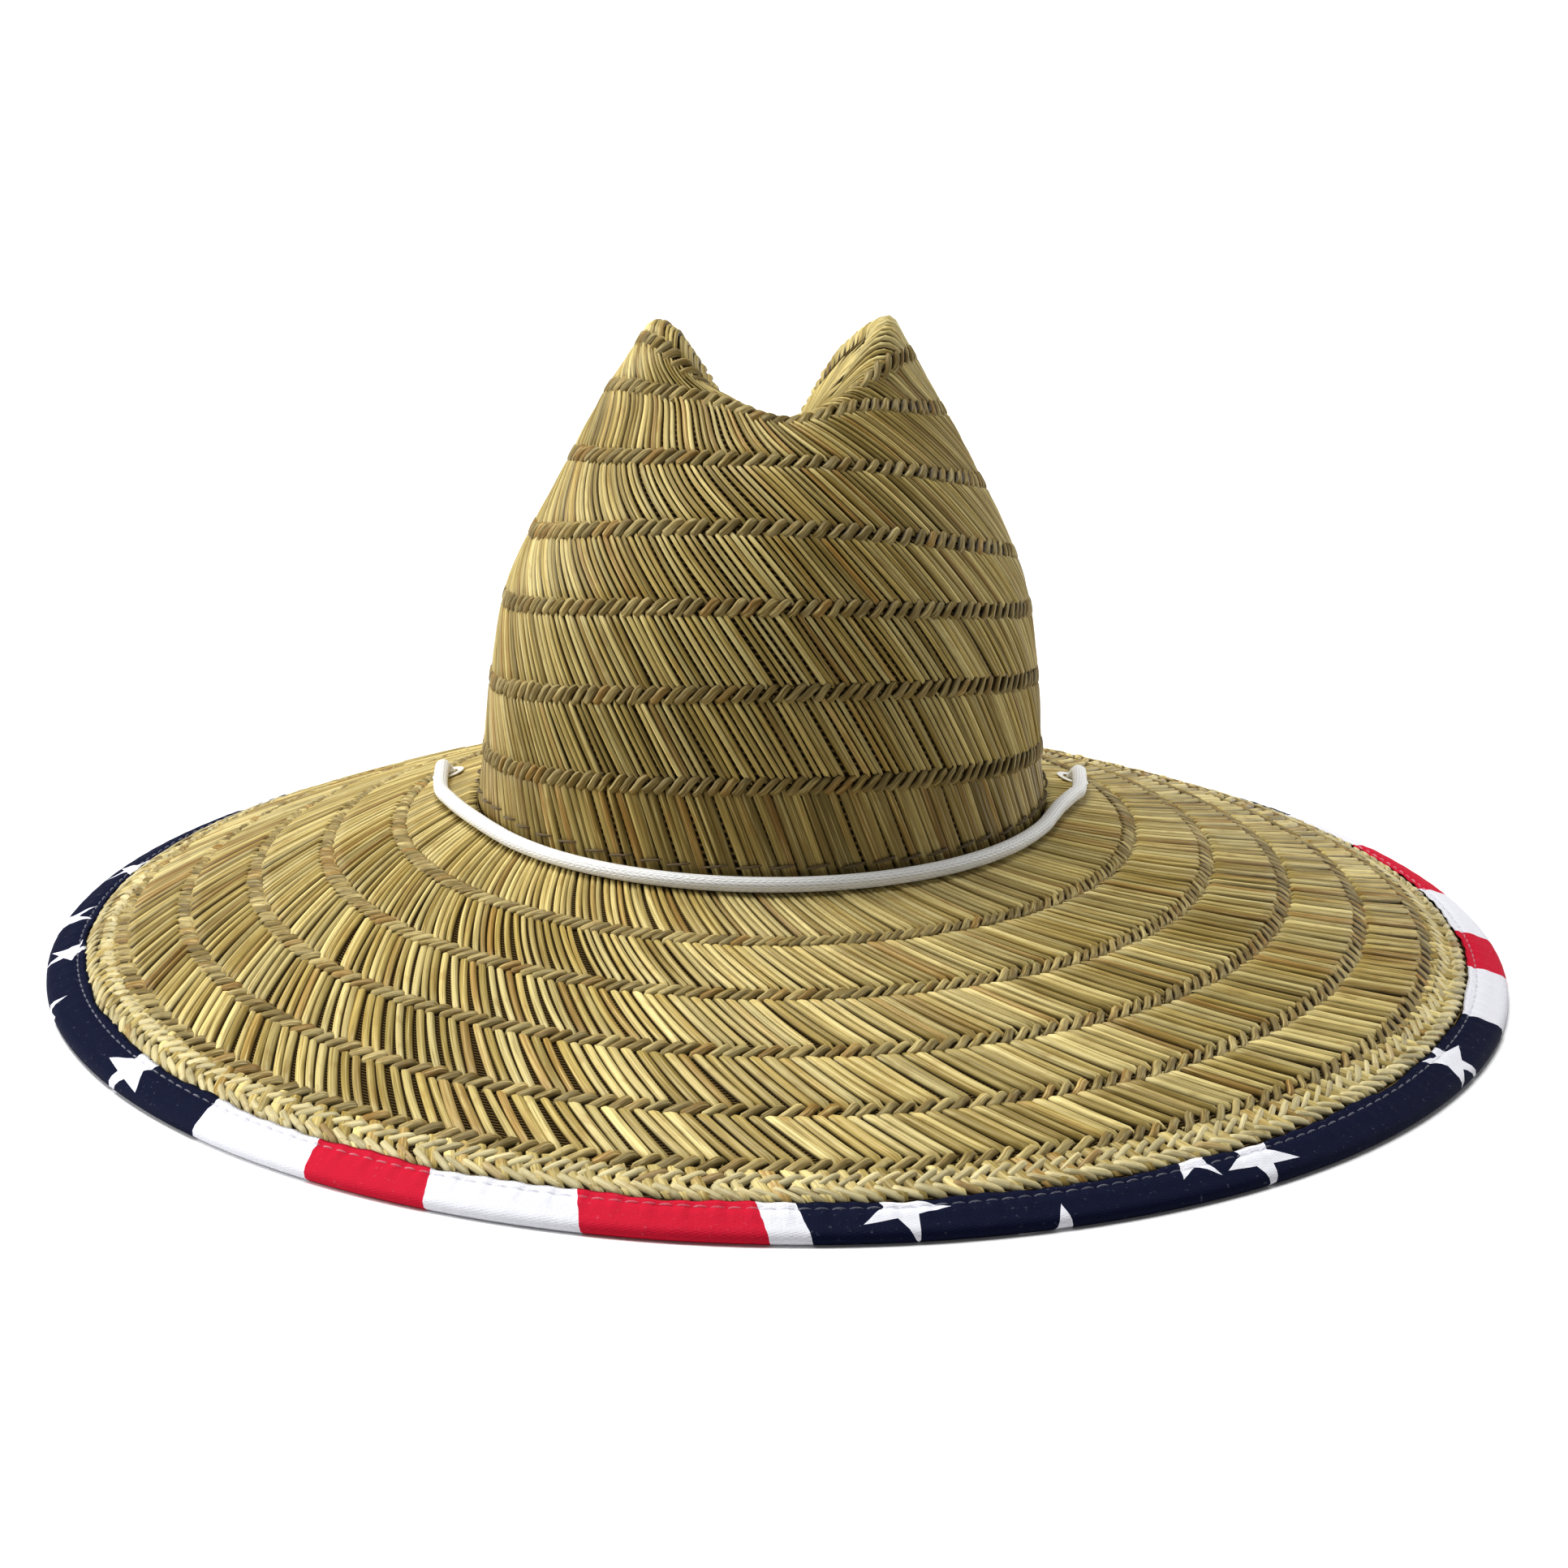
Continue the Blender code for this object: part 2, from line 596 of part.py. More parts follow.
def main():
    """Build every piece of the hat."""
    for item in list(bpy.data.objects):
        bpy.data.objects.remove(item, do_unlink=True)
    straw = make_material("straw", (0.50, 0.42, 0.22), 0.62)
    twine = make_material("twined_straw", (0.40, 0.31, 0.15), 0.66)
    pale = make_material("pale_straw", (0.66, 0.58, 0.36), 0.6)
    print_cloth = make_material("printed_cloth", (0.07, 0.09, 0.18), 0.8)
    band_cloth = make_material("band_cloth", (0.60, 0.54, 0.40), 0.9)
    thread = make_material("thread", (0.62, 0.55, 0.38), 0.7)
    nylon = make_material("white_cord", (0.86, 0.86, 0.87), 0.5)
    plastic = make_material("white_eyelet", (0.84, 0.84, 0.83), 0.35)
    bead = make_material("slider_bead", (0.42, 0.28, 0.15), 0.45)
    build_crown(straw)
    brim = build_brim(straw)
    build_crown_rows(twine)
    build_brim_rows(twine)
    build_braid(pale)
    build_binding(print_cloth)
    build_binding_stitching(thread)
    build_sweatband(band_cloth)
    build_band_stitching(thread)
    build_eyelet("eyelet_left", -1, plastic, brim)
    build_eyelet("eyelet_right", 1, plastic, brim)
    build_cord(nylon)
    build_slider(bead)
    build_knot(nylon)


if __name__ == "__main__":
    main()
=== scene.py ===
"""Woven straw sun hat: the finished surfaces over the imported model.

Every straw, twined strand and stitch is a piece of geometry laid on one smooth
form of crown and brim.  Metres, +Z up, the front of the hat faces -Y.
"""
import logging
import math
from dataclasses import dataclass
from dataclasses import field
from enum import Enum

import bmesh
import bpy
import numpy as np
from mathutils import Matrix
from mathutils import Vector

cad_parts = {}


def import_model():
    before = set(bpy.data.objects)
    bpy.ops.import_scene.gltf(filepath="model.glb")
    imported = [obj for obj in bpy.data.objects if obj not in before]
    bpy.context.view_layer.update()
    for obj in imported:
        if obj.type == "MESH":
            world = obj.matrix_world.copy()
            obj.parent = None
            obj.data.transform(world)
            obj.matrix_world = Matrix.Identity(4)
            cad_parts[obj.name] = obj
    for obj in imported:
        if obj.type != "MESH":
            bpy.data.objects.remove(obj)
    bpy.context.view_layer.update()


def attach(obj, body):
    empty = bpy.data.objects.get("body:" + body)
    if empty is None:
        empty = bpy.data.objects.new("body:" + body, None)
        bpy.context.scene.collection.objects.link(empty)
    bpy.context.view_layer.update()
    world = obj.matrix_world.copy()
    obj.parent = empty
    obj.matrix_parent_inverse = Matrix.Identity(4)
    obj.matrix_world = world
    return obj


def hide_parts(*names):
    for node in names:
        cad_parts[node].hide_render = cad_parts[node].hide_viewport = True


LOG = logging.getLogger("hat")
TAU = 2.0 * math.pi
MM = 0.001


class Region(Enum):
    """The two woven surfaces of the hat."""

    CROWN = "crown"
    BRIM = "brim"


# ------------------------------------------------------------------ shader nodes
class Graph:
    """One material's node tree, with a short way to add nodes."""

    def __init__(self, name: str) -> None:
        """Start an empty material.

        Args:
            name: the material's name.
        """
        self.material = bpy.data.materials.new(name)
        self.material.use_nodes = True
        self.tree = self.material.node_tree
        self.tree.nodes.clear()

    def node(self, kind: str, settings: dict | None = None,
             **values: "Wire | float | tuple | str") -> bpy.types.Node:
        """Add a node.

        Args:
            kind: the node type's name without the ShaderNode prefix.
            settings: node properties to set.
            **values: socket values or wires, by socket name with _ for a space, or
                by position as s0, s1 and so on.

        Returns:
            The new node.
        """
        made = self.tree.nodes.new("ShaderNode" + kind)
        for key, value in (settings or {}).items():
            setattr(made, key, value)
        for key, value in values.items():
            if key[0] == "s" and key[1:].isdigit():
                socket = made.inputs[int(key[1:])]
            else:
                socket = made.inputs[key.replace("_", " ")]
            if isinstance(value, Wire):
                self.tree.links.new(value.socket, socket)
            else:
                socket.default_value = value
        return made

    def wire(self, node: bpy.types.Node, output: int | str = 0) -> "Wire":
        """Take an output of a node.

        Args:
            node: the node.
            output: the output's name or position.

        Returns:
            The output as a wire.
        """
        return Wire(self, node.outputs[output])

    def math(self, operation: str, *values: "Wire | float") -> "Wire":
        """Add a Math node.

        Args:
            operation: the node's operation.
            *values: its inputs in order.

        Returns:
            Its result.
        """
        inputs = {"s%d" % i: value for i, value in enumerate(values)}
        return self.wire(self.node("Math", {"operation": operation}, **inputs))

    def uv(self, name: str) -> tuple["Wire", "Wire"]:
        """Read a UV map.

        Args:
            name: the map's name.

        Returns:
            Its two coordinates.
        """
        parts = self.node("SeparateXYZ", s0=self.wire(self.node("UVMap", {"uv_map": name})))
        return self.wire(parts, 0), self.wire(parts, 1)

    def attribute(self, name: str) -> tuple["Wire", "Wire", "Wire"]:
        """Read a colour attribute as three numbers.

        Args:
            name: the attribute's name.

        Returns:
            Its three parts.
        """
        read = self.node("Attribute", {"attribute_name": name})
        parts = self.node("SeparateColor", s0=self.wire(read, "Color"))
        return self.wire(parts, 0), self.wire(parts, 1), self.wire(parts, 2)

    def vector(self, x: "Wire | float", y: "Wire | float", z: "Wire | float") -> "Wire":
        """Join three numbers into a vector.

        Args:
            x: first part, a wire or a number.
            y: second part.
            z: third part.

        Returns:
            The vector.
        """
        return self.wire(self.node("CombineXYZ", s0=x, s1=y, s2=z))

    def noise(self, vector: "Wire", scale: float, detail: float = 2.0) -> "Wire":
        """Add smooth noise.

        Args:
            vector: where it is read.
            scale: its scale.
            detail: its octaves.

        Returns:
            A number around one half.
        """
        made = self.node("TexNoise", Vector=vector, Scale=scale, Detail=detail)
        return self.wire(made, 0)

    def ramp(self, factor: "Wire", stops: list, interpolation: str = "LINEAR") -> "Wire":
        """Add a colour ramp.

        Args:
            factor: where on the ramp.
            stops: pairs of position and colour.
            interpolation: the ramp's interpolation.

        Returns:
            The colour.
        """
        made = self.node("ValToRGB", s0=factor)
        made.color_ramp.interpolation = interpolation
        points = made.color_ramp.elements
        while len(points) < len(stops):
            points.new(1.0)
        for point, (place, color) in zip(points, stops):
            point.position = place
            point.color = (*color, 1.0)
        return self.wire(made)

    def mix(self, factor: "Wire | float", first: "Wire | tuple", second: "Wire | tuple",
            blend: str = "MIX") -> "Wire":
        """Mix two colours.

        Args:
            factor: 0 gives the first, 1 the second.
            first: a wire or a colour.
            second: a wire or a colour.
            blend: the blend type.

        Returns:
            The mixed colour.
        """
        made = self.node("Mix", {"data_type": "RGBA", "blend_type": blend}, s0=factor)
        for place, value in ((6, first), (7, second)):
            if isinstance(value, Wire):
                self.tree.links.new(value.socket, made.inputs[place])
            else:
                made.inputs[place].default_value = (*value, 1.0)
        return self.wire(made, 2)

    def bump(self, height: "Wire", distance: float, strength: float = 1.0) -> "Wire":
        """Turn a height into a normal.

        Args:
            height: the height.
            distance: metres for a height of one.
            strength: the bump's strength.

        Returns:
            The normal.
        """
        return self.wire(self.node("Bump", Height=height, Distance=distance, Strength=strength))

    def finish(self, **values: "Wire | float | tuple") -> bpy.types.Material:
        """Close the material with its principled shader.

        Args:
            **values: socket values or wires of the shader, by name.

        Returns:
            The material.
        """
        shader = self.node("BsdfPrincipled", **values)
        self.node("OutputMaterial", Surface=self.wire(shader))
        return self.material


class Wire:
    """An output socket that takes part in arithmetic."""

    def __init__(self, graph: Graph, socket: bpy.types.NodeSocket) -> None:
        """Wrap a socket.

        Args:
            graph: the tree it is in.
            socket: the output socket.
        """
        self.graph = graph
        self.socket = socket

    def __add__(self, other: "Wire | float") -> "Wire":
        """Sum of two values."""
        return self.graph.math("ADD", self, other)

    def __sub__(self, other: "Wire | float") -> "Wire":
        """Difference of two values."""
        return self.graph.math("SUBTRACT", self, other)

    def __mul__(self, other: "Wire | float") -> "Wire":
        """Product of two values."""
        return self.graph.math("MULTIPLY", self, other)

    def __truediv__(self, other: "Wire | float") -> "Wire":
        """Ratio of two values."""
        return self.graph.math("DIVIDE", self, other)

    def __rsub__(self, other: "Wire | float") -> "Wire":
        """Difference with the value second."""
        return self.graph.math("SUBTRACT", other, self)

    def __rtruediv__(self, other: "Wire | float") -> "Wire":
        """Ratio with the value second."""
        return self.graph.math("DIVIDE", other, self)

    __radd__ = __add__
    __rmul__ = __mul__

    def __pow__(self, other: "Wire | float") -> "Wire":
        """Power of the value."""
        return self.graph.math("POWER", self, other)

    def apply(self, operation: str, *others: "Wire | float") -> "Wire":
        """Run a Math operation on the value.

        Args:
            operation: such as SINE, FRACT, FLOOR, ABSOLUTE, LESS_THAN or MAXIMUM.
            *others: further inputs.

        Returns:
            The result.
        """
        return self.graph.math(operation, self, *others)

    def step(self, low: float, high: float) -> "Wire":
        """A smooth step between two values.

        Args:
            low: where it is 0.
            high: where it is 1.

        Returns:
            The step.
        """
        made = self.graph.node("MapRange", {"interpolation_type": "SMOOTHSTEP"},
                               s0=self, s1=low, s2=high)
        return self.graph.wire(made)


# ------------------------------------------------------------------ finishes
@dataclass(frozen=True)
class StrawFinish:
    """Dry split straw: tones from pale to brown, fine grain along each strand, with painted shade on
    each straw's flanks and ends.
    """

    name: str
    pale: tuple = (0.84, 0.725, 0.355)
    mid: tuple = (0.50, 0.385, 0.125)
    olive: tuple = (0.245, 0.175, 0.042)
    brown: tuple = (0.37, 0.205, 0.045)
    # Colour of the painted shade on the straws' flanks, where each sinks between its neighbours.
    edge: tuple = (0.045, 0.024, 0.005)
    roughness: float = 0.48
    # Strength of the painted shade on the flanks.
    flank_shade: float = 0.95

    def build(self) -> bpy.types.Material:
        """Make the material.

        Returns:
            The material; it reads the Strand map and the strand attribute.
        """
        g = Graph(self.name)
        across, along = g.uv("Strand")
        tone, hue, shade = g.attribute("strand")
        base = g.ramp(tone, [(0.0, self.olive), (0.42, self.mid), (1.0, self.pale)])
        base = g.mix(hue.step(0.80, 0.98) * 0.75, base, self.brown)
        grain_at = g.vector(across * 6.0 + tone * 31.0, along * 0.9 + hue * 17.0, shade * 23.0)
        grain = g.noise(grain_at, 1.5, 3.0)
        base = g.mix((grain - 0.46).step(0.0, 0.30) * 0.75, base, self.pale)
        base = g.mix((0.52 - grain).step(0.0, 0.24) * 0.65, base, self.olive)
        streak_at = g.vector(across * 15.0 + hue * 29.0, along * 0.5, tone * 37.0)
        streak = g.noise(streak_at, 1.0, 2.0)
        base = g.mix((streak - 0.56).step(0.0, 0.12) * 0.5, base, self.brown)
        blotch = g.noise(g.vector(across * 0.8 + hue * 40.0, along * 3.0, tone * 50.0), 1.3, 2.0)
        base = g.mix((blotch - 0.55).step(0.0, 0.2) * 0.35, base, self.brown)
        # Painted shade: both ends of each straw darken towards olive, where they dip under the
        # twining.
        tips = (along - 0.5).apply("ABSOLUTE") * 2.0
        base = g.mix(tips.step(0.86, 1.0) * 0.55, base, self.olive)
        # Painted shade: each straw's flanks darken towards the edge colour, where it sinks between
        # its neighbours.
        side = (across - 0.5).apply("ABSOLUTE") * 2.0
        base = g.mix(side.step(0.50, 0.86) * self.flank_shade, base, self.edge)
        gray = g.ramp(shade, [(0.0, (0.50,) * 3), (1.0, (1.0,) * 3)])
        base = g.mix(1.0, base, gray, "MULTIPLY")
        fine = g.noise(g.vector(across * 26.0, along * 2.0, tone * 60.0), 1.0, 2.0)
        normal = g.bump(grain * 0.6 + fine * 0.5, 0.00022, 0.7)
        return g.finish(Base_Color=base, Roughness=self.roughness - grain * 0.12, Normal=normal,
                        Specular_IOR_Level=0.28)


@dataclass(frozen=True)
class GroundFinish:
    """The weave's hidden layer: painted shade with the weft in the gaps outside, plain straws with
    painted shade at their sides inside the hat.
    """

    name: str
    straws: float
    drift: float
    # Colour of the painted shade between the straws.
    dark: tuple = (0.020, 0.012, 0.004)

    def build(self) -> bpy.types.Material:
        """Make the material.

        Returns:
            The material; it reads the Weave map, whose V is above 1 inside the hat.
        """
        g = Graph(self.name)
        u, v = g.uv("Weave")
        inside = v.step(1.005, 1.03)
        cell = u * self.straws + v * self.drift
        number = cell.apply("FLOOR").apply("FLOORED_MODULO", self.straws)
        part = (cell.apply("FRACT") - 0.5).apply("ABSOLUTE") * 2.0
        pick = g.wire(g.node("TexWhiteNoise", {"noise_dimensions": "1D"}, W=number), 0)
        straw = g.ramp(pick, [(0.0, (0.30, 0.24, 0.10)), (0.6, (0.44, 0.36, 0.16)),
                              (1.0, (0.58, 0.50, 0.26))])
        grain = g.noise(g.vector(part * 4.0, v * 30.0, pick * 40.0), 1.5, 2.0)
        # Painted shade: the straws inside the hat darken at their sides.
        straw = g.mix(part.step(0.72, 1.0) * 0.85, straw, self.dark)
        straw = g.mix((grain - 0.5) * 0.8, straw, (0.62, 0.54, 0.30))
        weft = (v * 150.0).apply("FRACT")
        weft = (weft - 0.5).apply("ABSOLUTE").step(0.28, 0.08)
        # Painted shade in the gaps between the outer straws, crossed by lighter weft.
        gaps = g.mix(weft * 0.85, self.dark, (0.25, 0.175, 0.065))
        color = g.mix(inside, gaps, straw)
        round_part = (1.0 - part * part).apply("MAXIMUM", 0.0) ** 0.5
        height = round_part * inside + weft * 0.35 * (1.0 - inside)
        return g.finish(Base_Color=color, Roughness=0.75, Specular_IOR_Level=0.05,
                        Normal=g.bump(height, 0.0007))


@dataclass(frozen=True)
class PrintFinish:
    """Edge cloth printed in blocks of navy, white and red, with small white stars."""

    name: str
    navy: tuple = (0.0020, 0.0052, 0.031)
    white: tuple = (0.72, 0.72, 0.76)
    red: tuple = (0.55, 0.012, 0.046)
    blocks: tuple = ((-180.0, "navy"), (-172.0, "white"), (-160.0, "red"), (-149.0, "white"),
                     (-137.0, "navy"), (-53.5, "white"), (-42.6, "red"), (-33.3, "white"),
                     (-21.6, "red"), (-8.6, "white"), (-6.2, "navy"), (63.5, "white"),
                     (75.8, "red"), (83.0, "white"), (95.5, "red"), (108.0, "white"),
                     (118.0, "navy"))
    stars: tuple = ((-112.0, 0.10, 20.0, 11.0), (-100.0, 0.42, 50.0, 12.0),
                    (-90.8, 0.20, 30.0, 9.5), (-81.0, 0.60, 10.0, 10.0),
                    (-64.0, 0.20, 62.0, 14.0), (1.4, 0.09, 42.0, 14.0),
                    (12.0, 0.74, 97.0, 14.0), (24.0, -0.04, 97.0, 11.0),
                    (29.2, 0.16, 60.0, 13.5), (55.0, 0.22, 30.0, 12.0),
                    (126.0, 0.15, 20.0, 13.0), (141.0, 0.45, 80.0, 14.0),
                    (152.0, 0.08, 55.0, 12.0), (166.0, 0.30, 5.0, 13.0),
                    (-132.0, 0.12, 75.0, 13.0))
    star_across: float = 4.1
    star_down: float = 29.0

    def star(self, u: "Wire", v: "Wire", place: tuple) -> "Wire":
        """A white star on the cloth.

        Args:
            u: degrees round the hat.
            v: 0 at the inner edge of the cloth's top, 1 at its lower edge.
            place: degrees, height, turn and size of the star.

        Returns:
            1 inside the star.
        """
        degrees, height, turn, size = place
        x = (u - degrees) * (self.star_across / size)
        y = (v - height) * (self.star_down / size)
        angle = y.apply("ARCTAN2", x) + (TAU * 1.5 - math.radians(turn))
        part = ((angle * (5.0 / TAU)).apply("FRACT") - 0.5).apply("ABSOLUTE") * 2.0
        folded = (1.0 - part) * (math.pi / 5)
        reach = 0.309 / (folded - math.radians(72.0)).apply("COSINE")
        return (x * x + y * y).apply("SQRT").apply("LESS_THAN", reach)

    def build(self) -> bpy.types.Material:
        """Make the material.

        Returns:
            The material; it reads the Cloth map: turns round the hat, place across.
        """
        g = Graph(self.name)
        u, v = g.uv("Cloth")
        colors = {"navy": self.navy, "white": self.white, "red": self.red}
        slanted = u - (v - 0.2) * 0.0054
        wobble = g.noise(g.vector(u * 400.0, v * 6.0, 0.0), 1.0, 1.0)
        slanted = slanted + (wobble - 0.5) * 0.0006
        stops = [((degrees + 180.0) / 360.0, colors[word]) for degrees, word in self.blocks]
        print_color = g.ramp(slanted, stops, "CONSTANT")
        degrees = u * 360.0 - 180.0
        for place in self.stars:
            print_color = g.mix(self.star(degrees, v, place), print_color, self.white)
        warp = (u * 3600.0).apply("SINE")
        weft = (v * 260.0).apply("SINE")
        worn = g.noise(g.vector(u * 900.0, v * 18.0, 1.0), 1.0, 3.0)
        print_color = g.mix((worn - 0.62).step(0.0, 0.16) * 0.16, print_color, (0.5, 0.5, 0.56))
        height = warp * weft * 0.5 + worn * 2.2
        return g.finish(Base_Color=print_color, Roughness=0.7, Specular_IOR_Level=0.15,
                        Normal=g.bump(height, 0.00012, 0.6))


@dataclass(frozen=True)
class BraidFinish:
    """Round braided nylon cord with its herringbone of small strands, and painted shade in the
    valleys between them.
    """

    name: str
    white: tuple = (0.96, 0.96, 0.95)
    pitch: float = 0.0022

    def build(self) -> bpy.types.Material:
        """Make the material.

        Returns:
            The material; it reads the Braid map: turns round the cord, metres along.
        """
        g = Graph(self.name)
        turn, along = g.uv("Braid")
        run = along * (1.0 / self.pitch)
        column = turn * 16.0
        lean = (column * 0.5).apply("FRACT").apply("GREATER_THAN", 0.5) * 2.0 - 1.0
        inside = column.apply("FRACT") - 0.5
        strand = ((run + inside * lean * 1.1).apply("FRACT") - 0.5).apply("ABSOLUTE") * 2.0
        rib = (inside.apply("ABSOLUTE") * 2.0).step(1.0, 0.55)
        height = (1.0 - strand * strand) * rib
        # Painted shade: the valleys between the strands are grey, the raised strands white.
        color = g.mix(height.step(0.0, 0.45), (0.70, 0.70, 0.69), self.white)
        return g.finish(Base_Color=color, Roughness=0.42, Sheen_Weight=0.2,
                        Normal=g.bump(height, 0.00020, 0.7))


@dataclass(frozen=True)
class ThreadFinish:
    """Sewing thread or plain twill cloth, with its twist."""

    name: str
    color: tuple
    twist: float = 2500.0
    depth: float = 0.00008

    def build(self) -> bpy.types.Material:
        """Make the material.

        Returns:
            The material; it reads object coordinates.
        """
        g = Graph(self.name)
        place = g.wire(g.node("TexCoord"), "Object")
        parts = g.node("SeparateXYZ", s0=place)
        x, y, z = (g.wire(parts, i) for i in range(3))
        ridges = ((x + y * 0.7 + z * 1.3) * self.twist).apply("SINE") * 0.5 + 0.5
        patches = g.noise(place, 220.0, 3.0)
        dark = tuple(part * 0.62 for part in self.color)
        color = g.mix(ridges * 0.45 + (patches - 0.5) * 0.5, self.color, dark)
        return g.finish(Base_Color=color, Roughness=0.85, Sheen_Weight=0.2,
                        Normal=g.bump(ridges + patches, self.depth))


@dataclass(frozen=True)
class ClearThreadFinish:
    """Clear sewing thread that lets the cloth show through."""

    name: str
    color: tuple = (0.80, 0.80, 0.86)
    cover: float = 0.26

    def build(self) -> bpy.types.Material:
        """Make the material.

        Returns:
            The material; it reads object coordinates.
        """
        g = Graph(self.name)
        place = g.wire(g.node("TexCoord"), "Object")
        uneven = g.noise(place, 700.0, 2.0)
        cover = uneven * 0.2 + (self.cover - 0.1)
        color = g.mix(uneven * 0.3, self.color, (0.55, 0.55, 0.60))
        return g.finish(Base_Color=color, Roughness=0.3, Alpha=cover,
                        Normal=g.bump(uneven, 0.00005))


@dataclass(frozen=True)
class PlasticFinish:
    """Moulded white plastic, slightly dulled."""

    name: str
    color: tuple = (0.82, 0.82, 0.80)

    def build(self) -> bpy.types.Material:
        """Make the material.

        Returns:
            The material; it reads object coordinates.
        """
        g = Graph(self.name)
        place = g.wire(g.node("TexCoord"), "Object")
        dull = g.noise(place, 900.0, 3.0)
        color = g.mix(dull.step(0.45, 0.75) * 0.25, self.color, (0.62, 0.61, 0.56))
        return g.finish(Base_Color=color, Roughness=0.30 + dull * 0.2,
                        Normal=g.bump(dull, 0.00005))


@dataclass(frozen=True)
class BeadFinish:
    """Turned wood with a thin satin varnish."""

    name: str
    light: tuple = (0.47, 0.27, 0.11)
    dark: tuple = (0.20, 0.10, 0.035)

    def build(self) -> bpy.types.Material:
        """Make the material.

        Returns:
            The material; it reads object coordinates.
        """
        g = Graph(self.name)
        place = g.wire(g.node("TexCoord"), "Object")
        parts = g.node("SeparateXYZ", s0=place)
        x, y, z = (g.wire(parts, i) for i in range(3))
        bend = g.noise(place, 90.0, 2.0) * 0.004
        rings = ((x * 0.6 + z + bend) * 4200.0).apply("SINE") * 0.5 + 0.5
        pores = g.noise(g.vector(x * 1500.0, y * 120.0, z * 1500.0), 1.0, 2.0)
        color = g.mix(rings * 0.55, self.light, self.dark)
        color = g.mix(pores.step(0.58, 0.72) * 0.6, color, self.dark)
        return g.finish(Base_Color=color, Roughness=0.36 + pores * 0.1, Coat_Weight=0.25,
                        Normal=g.bump(pores, 0.00006))


@dataclass(frozen=True)
class FloorFinish:
    """Plain pale studio floor."""

    name: str
    color: tuple = (0.86, 0.86, 0.86)

    def build(self) -> bpy.types.Material:
        """Make the material.

        Returns:
            The material.
        """
        g = Graph(self.name)
        place = g.wire(g.node("TexCoord"), "Object")
        soft = g.noise(place, 3.0, 2.0)
        color = g.mix(soft * 0.02, self.color, (0.83, 0.83, 0.84))
        return g.finish(Base_Color=color, Roughness=0.9, Specular_IOR_Level=0.0,
                        Emission_Color=(1.0, 1.0, 1.0, 1.0), Emission_Strength=0.04)


# ------------------------------------------------------------------ form
def oval_loop(width: float, front: float, back: float, rise: tuple) -> list:
    """Half of an oval loop of the crown, from the front round to the back.

    Args:
        width: half width in millimetres.
        front: reach to the front.
        back: reach to the back.
        rise: heights at the front, the side and the back.

    Returns:
        Seven points in millimetres.
    """
    points = []
    for degrees in (0, 30, 60, 90, 120, 150, 180):
        c = math.cos(math.radians(degrees))
        s = math.sin(math.radians(degrees))
        reach = front if c > 0 else back
        end = rise[0] if c > 0 else rise[2]
        points.append((width * s, -reach * c, rise[1] + (end - rise[1]) * abs(c) ** 1.25))
    return points


